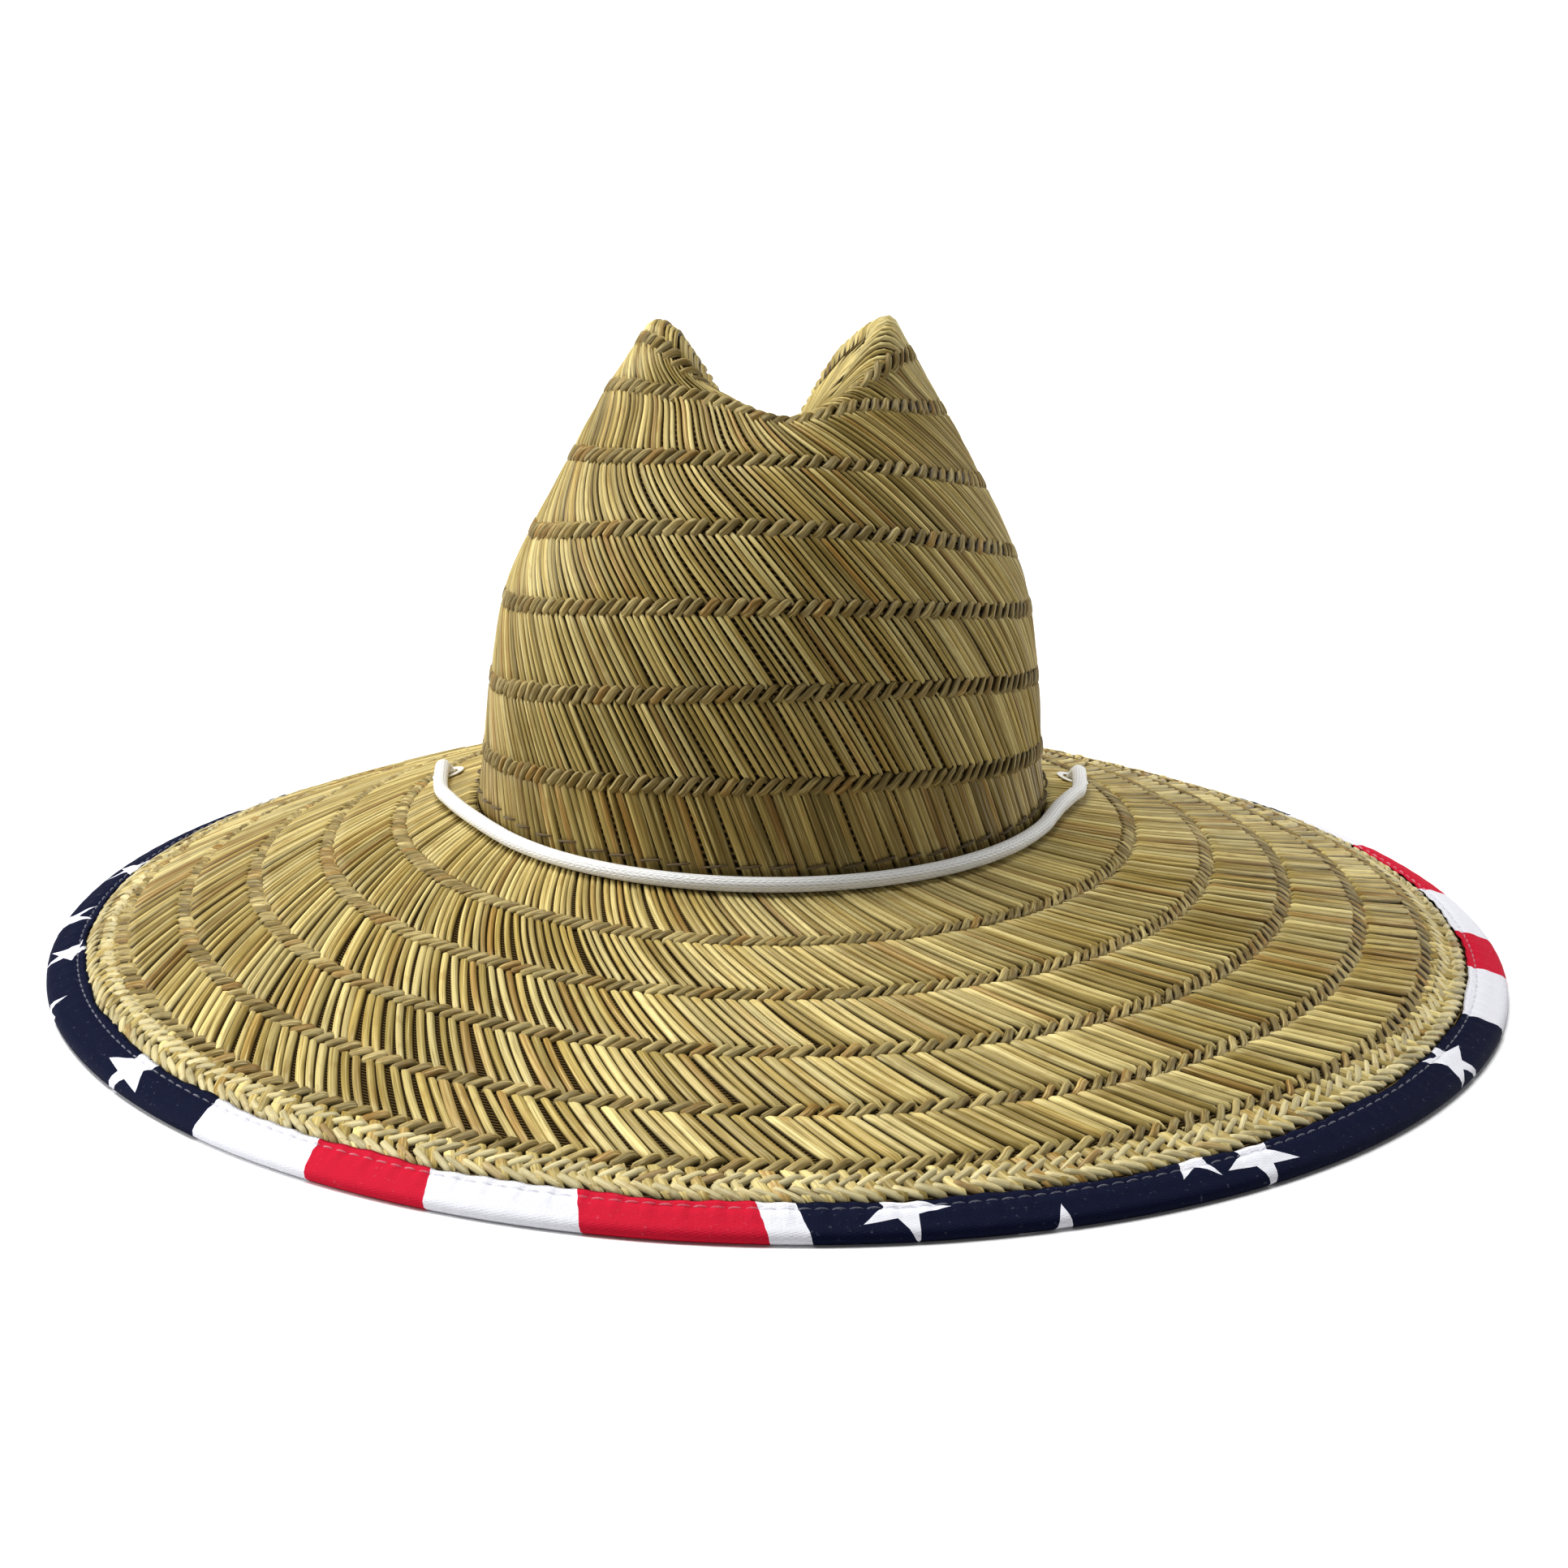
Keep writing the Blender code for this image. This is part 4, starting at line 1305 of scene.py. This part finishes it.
@dataclass
class ClothEdge:
    """The printed cloth folded over the brim's edge, and its stitches."""

    form: HatForm
    width: float = 0.0130
    nose: float = 0.0020
    wall: float = 0.0018
    thick: float = 0.0006
    stitch_inset: float = 0.0026
    stitch_radius: float = 0.00036
    stitch_half: float = 0.0019
    stitch_lift: float = 0.00062
    stitches: int = 300

    def edge(self, u: np.ndarray) -> tuple:
        """The brim's edge with its directions.

        Args:
            u: angle from the front.

        Returns:
            Points, outward directions along the slope, and upward normals.
        """
        here, _, dv, normal = self.form.frame(Region.BRIM, u, np.ones_like(u))
        out = dv / np.linalg.norm(dv, axis=-1, keepdims=True)
        return here, out, normal

    def build(self, cloth: bpy.types.Material, thread: bpy.types.Material) -> None:
        """Make the cloth and its stitches.

        Args:
            cloth: the printed material.
            thread: the stitches' material.
        """
        piece = settle(self.fold(cloth), "hat", "printed_cloth", "edge_binding")
        settle(self.stitch_line(thread), "hat", "thread", "binding_stitching")

    def profile(self, q: np.ndarray, u: np.ndarray) -> tuple:
        """The folded cloth's section.

        Args:
            q: 0 at the top flap's inner edge, 1 at the lower flap's.
            u: angle from the front.

        Returns:
            Place out along the slope, and up off the brim.
        """
        flap = self.width - self.nose
        turn = (self.wall + 0.0008) * math.pi / 2 + 0.002
        total = 2 * flap + turn
        run = q * total
        angle = np.clip((run - flap) / turn, 0.0, 1.0) * math.pi
        radius = (self.wall + 0.0004) / 2
        out = np.where(run < flap, run - flap, np.where(run > flap + turn, flap + turn - run, 0.0))
        out = out + np.sin(angle) * (self.nose + 0.0002)
        up = -self.wall / 2 + np.cos(angle) * (radius + 0.0003)
        seam = np.exp(-((run - self.stitch_inset) / 0.0011) ** 2)
        pinch = 0.5 + 0.5 * np.cos(u * self.stitches)
        ripple = 0.00022 * np.sin(u * self.stitches / 2 + 0.6) * np.exp(-run / 0.006)
        up = up - seam * (0.00025 + 0.00040 * pinch) + ripple
        puff = 0.00030 * np.exp(-((run - self.stitch_inset - 0.0030) / 0.002) ** 2)
        puff = puff * (1.0 - pinch * 0.6)
        slack = 0.0004 * np.sin(u * 23.0 + 1.3) + 0.0003 * np.sin(u * 41.0)
        out = out + slack * np.exp(-run / 0.004)
        return out, up + puff

    def fold(self, material: bpy.types.Material) -> bpy.types.Object:
        """The cloth as a thin closed body.

        Args:
            material: its material.

        Returns:
            The cloth.
        """
        patch = Patch(1500, 44)
        u, half, skin, q = patch.skins()
        here, out, normal = self.edge(u)
        place, up = self.profile(q, u)
        e = 1e-3
        ahead = self.profile(np.clip(q + e, 0, 1), u)
        behind = self.profile(np.clip(q - e, 0, 1), u)
        step = np.stack((ahead[0] - behind[0], ahead[1] - behind[1]), axis=-1)
        step /= np.linalg.norm(step, axis=-1, keepdims=True)
        face = normal * step[:, :1] - out * step[:, 1:]
        lift = np.where(skin, self.thick, 0.0)
        rounding = np.clip(np.minimum(half, np.abs(1.0 - half)) * 40.0, 0.3, 1.0)
        lift = np.where(skin, lift * rounding, lift)
        points = here + out * place[:, None] + normal * up[:, None] + face * lift[:, None]
        points[:, 2] = np.maximum(points[:, 2], 0.0001)
        outward = np.where(skin[:, None], face, -face)
        turns = patch.places[:, 0] + 0.5
        maps = {"Cloth": np.stack((turns, q), axis=-1)}
        mesh = Mesh("edge_cloth", points, patch.faces, maps, None, outward)
        mesh.weld(patch.ring_keys())
        corner = mesh.maps["Cloth"]
        corner[..., 0] = np.where(corner[..., 0] > 1.0 + 1e-9, corner[..., 0] - 1.0, corner[..., 0])
        wrap = (corner[..., 0].max(axis=1) - corner[..., 0].min(axis=1)) > 0.5
        fixed = np.where(corner[wrap][..., 0] < 0.5, 1.0, corner[wrap][..., 0])
        corner[wrap, :, 0] = fixed
        return mesh.make(material)

    def stitch_line(self, material: bpy.types.Material) -> bpy.types.Object:
        """The short stitches along the cloth's inner edge.

        Args:
            material: the thread.

        Returns:
            The stitches as one object.
        """
        patch = Patch(6, 6)
        n = self.stitches
        at = (np.arange(n) + 0.5) * TAU / n
        here, out, normal = self.edge(at)
        ahead = self.edge(at + 1e-3)[0] - here
        tangent = ahead / np.linalg.norm(ahead, axis=-1, keepdims=True)
        angle = patch.places[None, :, 0] * TAU
        b = patch.places[None, :, 1] * 2.0 - 1.0
        radius = self.stitch_radius * np.sqrt(np.clip(1.02 - b * b, 0.0, 1.0))
        middle = here + out * (self.stitch_inset - self.width + self.nose)
        middle = middle + normal * self.stitch_lift
        lift = np.cos(angle) * radius + 0.00030 * (1.0 - b * b)
        points = (middle[:, None] + tangent[:, None] * (b * self.stitch_half)[..., None]
                  + out[:, None] * (np.sin(angle) * radius)[..., None]
                  + normal[:, None] * lift[..., None])
        outward = (out[:, None] * np.sin(angle)[..., None]
                   + normal[:, None] * np.cos(angle)[..., None])
        return lay_many("edge_stitches", patch, points, np.broadcast_to(outward, points.shape),
                    material, 1.0)


@dataclass
class HeadBand:
    """The cotton band inside the crown and its stitches seen outside."""

    form: HatForm
    height: float = 0.028
    wall: float = 0.0018
    gap: float = 0.0004
    thick: float = 0.0014
    radius: float = 0.0905
    stitch_height: float = 0.0058
    stitch_radius: float = 0.00042
    stitch_share: float = 0.84
    stitches: int = 56

    def level_at(self, u: np.ndarray, height: np.ndarray) -> np.ndarray:
        """Find the crown's level at a height above the seam.

        Args:
            u: angle from the front.
            height: metres above the seam.

        Returns:
            The level.
        """
        low = np.zeros_like(u)
        high = np.full_like(u, 3.0)
        for _ in range(24):
            middle = (low + high) / 2
            below = self.form.crown(u, middle)[..., 2] < height
            low = np.where(below, middle, low)
            high = np.where(below, high, middle)
        return (low + high) / 2

    def build(self, cloth: bpy.types.Material, thread: bpy.types.Material) -> None:
        """Make the band and its stitches.

        Args:
            cloth: the band's material.
            thread: the stitches' material.
        """
        band = settle(self.band(cloth), "hat", "band_cloth", "sweatband")
        settle(self.stitch_line(thread), "hat", "thread", "sweatband_stitching")

    def band(self, material: bpy.types.Material) -> bpy.types.Object:
        """The band as a thin closed ring.

        Args:
            material: its material.

        Returns:
            The band.
        """
        patch = Patch(300, 40)
        u, _, skin, q = patch.skins()
        height = -self.wall + q * (self.height + self.wall)
        level = self.level_at(u, np.maximum(height, 0.001))
        here, _, _, normal = self.form.frame(Region.CROWN, u, level)
        flat = normal * np.array((1.0, 1.0, 0.0))
        flat /= np.linalg.norm(flat, axis=-1, keepdims=True)
        roll = np.clip(np.minimum(q, 1.0 - q) * 14.0, 0.25, 1.0)
        depth = self.wall + self.gap + np.where(skin, 0.0, self.thick * roll)
        pucker = 0.00025 * np.sin(u * 56.0) * np.exp(-((q - 0.3) / 0.2) ** 2)
        points = here - flat * (depth + np.where(skin, 0.0, pucker))[:, None]
        points[:, 2] = self.form.seam_height + height
        outward = np.where(skin[:, None], flat, -flat)
        mesh = Mesh("head_band", points, patch.faces, {}, None, outward)
        mesh.weld(patch.ring_keys())
        return mesh.make(material)

    def stitch_line(self, material: bpy.types.Material) -> bpy.types.Object:
        """The long running stitches round the outside of the crown.

        Args:
            material: the thread.

        Returns:
            The stitches as one object.
        """
        patch = Patch(6, 10)
        n = self.stitches
        rng = np.random.default_rng(7)
        at = (np.arange(n) + 0.5 + rng.uniform(-0.12, 0.12, n)) * TAU / n
        angle = patch.places[None, :, 0] * TAU
        b = patch.places[None, :, 1] * 2.0 - 1.0
        span = self.stitch_share * math.pi / n
        u = at[:, None] + b * span
        height = self.stitch_height + 0.0006 * b + rng.uniform(-0.0005, 0.0005, n)[:, None]
        u = np.broadcast_to(u, (n, len(patch.places)))
        level = self.level_at(u, np.broadcast_to(height, u.shape))
        here, _, dv, normal = self.form.frame(Region.CROWN, u, level)
        upward = dv / np.linalg.norm(dv, axis=-1, keepdims=True)
        radius = self.stitch_radius * np.sqrt(np.clip(1.02 - b * b, 0.0, 1.0))
        lift = 0.0011 + 0.0004 * (1.0 - b * b) - 0.0012 * np.abs(b) ** 6
        ring = normal * np.cos(angle)[..., None] + upward * np.sin(angle)[..., None]
        points = here + normal * lift[..., None] + ring * radius[..., None]
        return lay_many("band_stitches", patch, points, ring, material, 1.0)


@dataclass
class ChinCord:
    """The braided cord, its eyelets, the slider bead and the end knot."""

    form: HatForm
    half_width: float = 0.087
    half_length: float = 0.098
    reach_x: float = 0.224
    reach_y: float = 0.248
    diameter: float = 0.0046
    above: float = 0.0046
    bend: float = 0.0100
    eyelet_out: float = 0.0170
    eyelet_angles: dict = field(default_factory=lambda: {-1: 116.0, 1: 102.0})
    spacing: float = 0.0062
    height: float = 0.0072
    strand_end: float = -0.066
    slider_at: float = -0.048
    slider_radii: tuple = (0.01125, 0.0098, 0.00675)
    bore_radius: float = 0.0027
    knot_turns: float = 2.6
    knot_swell: float = 0.0043
    knot_length: float = 0.0095
    knot_cord: float = 0.0043
    eyelet_radii: tuple = (0.0061, 0.0042)
    eyelet_rims: tuple = (0.0012, 0.0010)

    def beside_wall(self, degrees: float, out: float, lift: float) -> tuple:
        """A point beside the crown wall.

        Args:
            degrees: angle from the front.
            out: distance from the wall.
            lift: distance off the brim.

        Returns:
            The point and the brim's normal there.
        """
        angle = math.radians(degrees)
        x = self.half_width * math.sin(angle)
        y = -self.half_length * math.cos(angle)
        away = Vector((x / self.half_width ** 2, y / self.half_length ** 2, 0.0)).normalized()
        reach = math.hypot(self.reach_x * math.sin(angle), self.reach_y * math.cos(angle))
        run = reach - math.hypot(x, y)
        slope = self.form.brim_drop * (1 - self.form.brim_curl) / run
        spot = Vector((x + self.form.crown_shift, y, self.form.seam_height)) + away * out
        spot.z -= slope * out
        up = (Vector((0, 0, 1)) + away * slope).normalized()
        return spot + up * lift, up

    def hole(self, side: int) -> tuple:
        """Where the cord goes through the brim.

        Args:
            side: -1 left, 1 right.

        Returns:
            The spot, the cord's way back, and the brim's normal.
        """
        angle = self.eyelet_angles[side]
        spot, up = self.beside_wall(side * angle, self.eyelet_out, 0.0)
        before = self.beside_wall(side * (angle - 12.0), self.eyelet_out - 0.0035, 0.0)[0]
        back = spot - before
        back = (back - up * back.dot(up)).normalized()
        return spot, back, up

    def bend_point(self, side: int, degrees: float) -> Vector:
        """A point on the cord's bend down through the brim.

        Args:
            side: -1 left, 1 right.
            degrees: how far the cord has turned.

        Returns:
            The point.
        """
        spot, back, up = self.hole(side)
        turned = math.acos(1.0 - self.above / self.bend)
        start = spot - back * (self.bend * math.sin(turned)) + up * self.above
        angle = math.radians(degrees)
        run = back * (self.bend * math.sin(angle))
        return start + run - up * (self.bend * (1 - math.cos(angle)))

    def half(self, side: int) -> list:
        """Route of one half of the cord, from the front's middle to the knot.

        Args:
            side: -1 left, 1 right.

        Returns:
            Its points.
        """
        beside = self.diameter / 2 + 0.0008
        points = []
        for degrees in (0, 10, 20, 30, 40, 50, 60, 68):
            points.append(self.beside_wall(side * degrees, beside, beside)[0])
        last = self.eyelet_angles[side] - 9.0
        for share, out in ((0.18, 0.0006), (0.38, 0.0022), (0.58, 0.0046), (0.80, 0.0080)):
            degrees = 68.0 + (last - 68.0) * share
            lift = beside + 0.0006 * share
            points.append(self.beside_wall(side * degrees, beside + out, lift)[0])
        for degrees in (0, 20, 40, 60, 80):
            points.append(self.bend_point(side, degrees))
        end = self.bend_point(side, 90)
        low = end + (end - self.bend_point(side, 80)).normalized() * 0.004
        points.append(low)
        points.append(Vector((low.x - side * 0.0035, low.y - 0.001, 0.0235)))
        for x, y, z in ((0.0840, 0.037, 0.0125), (0.0765, 0.038, 0.0056), (0.066, 0.041, 0.0030),
                        (0.052, 0.048, 0.0030), (0.039, 0.055, 0.0032),
                        (0.0275, 0.0605, 0.0040), (0.0165, 0.0630, 0.0052),
                        (0.0096, 0.0613, 0.0062), (0.0048, 0.0565, 0.0069)):
            points.append(Vector((side * x, y, z)))
        for y in (0.050, 0.040, 0.025, 0.004, -0.020, -0.046, self.strand_end):
            points.append(Vector((side * self.spacing / 2, y, self.height)))
        return points

    def route(self, spacing: float = 0.0012) -> np.ndarray:
        """The whole cord's centreline.

        Args:
            spacing: distance between points.

        Returns:
            The points, evenly spaced.
        """
        control = np.array([list(p) for p in reversed(self.half(-1)[1:])]
                           + [list(p) for p in self.half(1)])
        fine = []
        for i in range(len(control) - 1):
            four = control[[max(i - 1, 0), i, i + 1, min(i + 2, len(control) - 1)]]
            f = np.linspace(0.0, 1.0, 24, endpoint=False)
            fine.append(HatForm.weights(f) @ four)
        fine = np.concatenate(fine + [control[-1:]])
        length = np.concatenate(([0.0], np.cumsum(np.linalg.norm(np.diff(fine, axis=0), axis=1))))
        even = np.linspace(0.0, length[-1], int(length[-1] / spacing))
        return np.stack([np.interp(even, length, fine[:, i]) for i in range(3)], axis=-1)

    @staticmethod
    def tube(name: str, line: np.ndarray, diameter: float, sides: int,
             material: bpy.types.Material) -> bpy.types.Object:
        """A round closed tube along a line, with the Braid map.

        Args:
            name: the object's name.
            line: its centreline.
            diameter: its diameter.
            sides: its sides.
            material: its material.

        Returns:
            The tube.
        """
        steps = len(line) - 1
        tangent = np.gradient(line, axis=0)
        tangent /= np.linalg.norm(tangent, axis=1, keepdims=True)
        side = np.empty_like(line)
        start = np.cross(tangent[0], (0.3, 0.2, 0.9))
        side[0] = start / np.linalg.norm(start)
        for i in range(1, len(line)):
            turned = side[i - 1] - tangent[i] * np.dot(side[i - 1], tangent[i])
            side[i] = turned / np.linalg.norm(turned)
        other = np.cross(tangent, side)
        patch = Patch(sides, steps + 2)
        row = np.round(patch.places[:, 1] * (steps + 2)).astype(int)
        k = np.clip(row - 1, 0, steps)
        closed = (row == 0) | (row == steps + 2)
        angle = patch.places[:, 0] * TAU
        ring = side[k] * np.cos(angle)[:, None] + other[k] * np.sin(angle)[:, None]
        radius = np.where(closed, 0.0, diameter / 2)[:, None]
        points = line[k] + ring * radius
        points = points + tangent[k] * (np.where(row == 0, -0.0002, 0.0)
                                        + np.where(row == steps + 2, 0.0002, 0.0))[:, None]
        run = np.concatenate(([0.0], np.cumsum(np.linalg.norm(np.diff(line, axis=0), axis=1))))
        maps = {"Braid": np.stack((patch.places[:, 0], run[k]), axis=-1)}
        outward = ring + tangent[k] * (np.where(row == 0, -9.0, 0.0)
                                       + np.where(row == steps + 2, 9.0, 0.0))[:, None]
        mesh = Mesh(name, points, patch.faces, maps, None, outward)
        column = np.round(patch.places[:, 0] * sides).astype(int) % sides
        mesh.weld(row * 1000 + np.where(closed, 0, column))
        return mesh.make(material)

    def build(self, nylon: bpy.types.Material, plastic: bpy.types.Material,
              wood: bpy.types.Material) -> None:
        """Make the cord and the pieces on it.

        Args:
            nylon: the cord's material.
            plastic: the eyelets' material.
            wood: the slider's material.
        """
        line = self.route()
        cord = settle(self.tube("braided_cord", line, self.diameter, 16, nylon),
                      "hat", "cord_nylon", "chin_cord")
        slider = settle(self.slider(wood), "slider", "slider_bead", "cord_slider")
        knot = settle(self.knot(nylon), "hat", "cord_nylon", "end_knot")
        for word, side in (("left", -1), ("right", 1)):
            settle(self.eyelet("eyelet_ring_" + word, side, plastic), "hat", "eyelet_plastic",
                   "eyelet_" + word)

    def slider(self, material: bpy.types.Material) -> bpy.types.Object:
        """The oval wooden bead with two bores.

        Args:
            material: its material.

        Returns:
            The bead.
        """
        bm = bmesh.new()
        bmesh.ops.create_uvsphere(bm, u_segments=48, v_segments=32, radius=1.0)
        wide, deep, tall = self.slider_radii
        for vert in bm.verts:
            x, y, z = vert.co
            ring = math.hypot(x, z)
            squeeze = (1.0 - min(abs(y), 1.0) ** 4) ** 0.25 if ring > 1e-6 else 0.0
            scale = squeeze / ring if ring > 1e-6 else 0.0
            scale = min(scale, 1.0 / max(ring, 1e-6))
            vert.co = Vector((x * scale * wide, y * deep, z * scale * tall))
        bmesh.ops.transform(bm, matrix=Matrix.Translation((0.0, self.slider_at, self.height)),
                            verts=bm.verts)
        mesh = bpy.data.meshes.new("slider_bead")
        bmesh.ops.recalc_face_normals(bm, faces=bm.faces)
        bm.to_mesh(mesh)
        bm.free()
        mesh.shade_smooth()
        mesh.materials.append(material)
        bead = link("slider_bead", mesh)
        for side in (-1, 1):
            self.bore(bead, side)
        return bead

    def bore(self, bead: bpy.types.Object, side: int) -> None:
        """Cut one bore through the bead.

        Args:
            bead: the bead.
            side: -1 left, 1 right.
        """
        bm = bmesh.new()
        turn = Matrix.Rotation(math.radians(90), 4, "X")
        shift = Matrix.Translation((side * self.spacing / 2, self.slider_at, self.height))
        bmesh.ops.create_cone(bm, cap_ends=True, segments=32, radius1=self.bore_radius,
                              radius2=self.bore_radius, depth=0.04, matrix=shift @ turn)
        mesh = bpy.data.meshes.new("bore")
        bm.to_mesh(mesh)
        bm.free()
        cutter = link("bore", mesh)
        modifier = bead.modifiers.new("bore", "BOOLEAN")
        modifier.operation = "DIFFERENCE"
        modifier.object = cutter
        bpy.context.view_layer.update()
        graph = bpy.context.evaluated_depsgraph_get()
        done = bpy.data.meshes.new_from_object(bead.evaluated_get(graph))
        bead.modifiers.clear()
        bead.data = done
        done.set_sharp_from_angle(angle=math.radians(45))
        bpy.data.objects.remove(cutter, do_unlink=True)

    def knot(self, material: bpy.types.Material) -> bpy.types.Object:
        """The knot that joins both ends: the cord wound round itself.

        Args:
            material: its material.

        Returns:
            The knot.
        """
        t = np.linspace(0.0, 1.0, 150)
        angle = t * self.knot_turns * TAU
        swell = self.knot_swell * np.sin(np.clip(t * 1.15 - 0.02, 0.0, 1.0) * math.pi) ** 0.35
        y = self.strand_end - 0.0030 - t * self.knot_length
        line = np.stack((swell * np.cos(angle) * 0.98, y, self.height + swell * np.sin(angle)),
                        axis=-1)
        return self.tube("end_knot_wound", line, self.knot_cord, 12, material)

    def eyelet(self, name: str, side: int, material: bpy.types.Material) -> bpy.types.Object:
        """A flat oval eyelet with a rounded rim and a hole for the cord.

        Args:
            name: the object's name.
            side: -1 left, 1 right.
            material: its material.

        Returns:
            The eyelet.
        """
        spot, back, up = self.hole(side)
        across = up.cross(back).normalized()
        patch = Patch(48, 12)
        angle = patch.places[:, 0] * TAU
        turn = patch.places[:, 1] * TAU
        middle_x, middle_y = (radius - rim * np.cos(turn)
                              for radius, rim in zip(self.eyelet_radii, self.eyelet_rims))
        x = np.cos(angle) * (middle_x + 0.0002) - 0.0006
        y = np.sin(angle) * middle_y
        z = 0.0012 + 0.0004 * np.sin(turn)
        points = (np.array(spot) + np.outer(x, back) + np.outer(y, across) + np.outer(z, up))
        outward = (np.outer(np.cos(angle) * -np.cos(turn), back)
                   + np.outer(np.sin(angle) * -np.cos(turn), across)
                   + np.outer(np.sin(turn), up))
        mesh = Mesh(name, points, patch.faces, {}, None, outward)
        mesh.weld(patch.ring_keys())
        return mesh.make(material)


# ------------------------------------------------------------------ studio
@dataclass
class Studio:
    """Pale floor, soft lights and the camera."""

    seam_height: float = 0.0510
    distance: float = 1.300
    rise: float = 0.3674
    pitch: float = 15.637
    yaw: float = 7.0
    roll: float = 0.3
    side: float = 0.0027
    lens: float = 100.36

    def build(self, floor: bpy.types.Material) -> None:
        """Set up the studio.

        Args:
            floor: the floor's material.
        """
        self.floor(floor)
        self.camera()
        self.sun("top_sun", (-0.17, 0.22, 1.0), 2.95, 36.0)
        self.sun("left_sun", (-1.0, 0.30, 0.46), 2.1, 26.0)
        self.sun("right_sun", (1.0, 0.60, 0.40), 0.72, 30.0)
        world = bpy.data.worlds.new("studio")
        bpy.context.scene.world = world
        world.use_nodes = True
        shade = world.node_tree.nodes["Background"]
        shade.inputs["Color"].default_value = (1.0, 1.0, 1.0, 1.0)
        shade.inputs["Strength"].default_value = 0.17
        bpy.context.scene.view_settings.view_transform = "Standard"
        bpy.context.scene.view_settings.look = "None"
        bpy.context.scene.view_settings.gamma = 0.8
        bpy.context.scene.view_settings.exposure = 0.12

    def floor(self, material: bpy.types.Material) -> None:
        """Make the floor.

        Args:
            material: its material.
        """
        bm = bmesh.new()
        bmesh.ops.create_grid(bm, x_segments=8, y_segments=8, size=30.0)
        mesh = bpy.data.meshes.new("studio_floor")
        bm.to_mesh(mesh)
        bm.free()
        mesh.materials.append(material)
        plane = bpy.data.objects.new("studio_floor", mesh)
        plane.location = (0.0, 0.0, -0.0002)
        bpy.context.scene.collection.objects.link(plane)

    def camera(self) -> None:
        """Place the camera."""
        data = bpy.data.cameras.new("camera")
        data.sensor_width = 36.0
        data.lens = self.lens
        data.clip_end = 100.0
        camera = bpy.data.objects.new("camera", data)
        yaw = math.radians(self.yaw)
        turn = Matrix.Rotation(-yaw, 4, "Z")
        place = Matrix.Translation((self.side, -self.distance, self.seam_height + self.rise))
        tilt = Matrix.Rotation(math.radians(90.0 - self.pitch), 4, "X")
        roll = Matrix.Rotation(math.radians(self.roll), 4, "Z")
        camera.matrix_world = turn @ place @ tilt @ roll
        bpy.context.scene.collection.objects.link(camera)
        bpy.context.scene.camera = camera

    @staticmethod
    def sun(name: str, way: tuple, strength: float, softness: float) -> None:
        """Add a soft far light.

        Args:
            name: its name.
            way: direction towards it.
            strength: its strength.
            softness: how wide it is in degrees.
        """
        data = bpy.data.lights.new(name, "SUN")
        data.energy = strength
        data.angle = math.radians(softness)
        lamp = bpy.data.objects.new(name, data)
        lamp.rotation_euler = Vector(way).to_track_quat("Z", "Y").to_euler()
        bpy.context.scene.collection.objects.link(lamp)


def main() -> None:
    """Build the hat and its studio in order."""
    logging.basicConfig(level=logging.INFO, format="%(name)s: %(message)s")
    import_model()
    form = HatForm()
    Studio(form.seam_height).build(FloorFinish("floor_paint").build())
    straw = StrawFinish("straw").build()
    twine = StrawFinish("twined_straw", mid=(0.34, 0.265, 0.115), roughness=0.55).build()
    pale = StrawFinish("pale_straw", pale=(0.78, 0.70, 0.42), mid=(0.64, 0.55, 0.29),
                       olive=(0.46, 0.37, 0.17)).build()
    thread = ThreadFinish("thread", (0.15, 0.105, 0.045)).build()
    # The flat straws next to the seam get weaker painted shade on their flanks.
    flat = StrawFinish("flat_straw", flank_shade=0.42).build()
    ChinCord(form).build(BraidFinish("white_braid").build(),
                         PlasticFinish("white_plastic").build(), BeadFinish("bead_wood").build())
    WovenCrown(form).build(straw, flat, twine, GroundFinish("crown_ground", 170.0, 18.0).build())
    WovenBrim(form).build(straw, flat, twine, pale, GroundFinish("brim_ground", 262.0, 40.0).build())
    ClothEdge(form).build(
        PrintFinish("printed_cloth").build(),
        ClearThreadFinish("clear_thread").build())
    HeadBand(form).build(ThreadFinish("band_cotton", (0.60, 0.54, 0.40), 1800.0, 0.00012).build(),
                         thread)


if __name__ == "__main__":
    main()
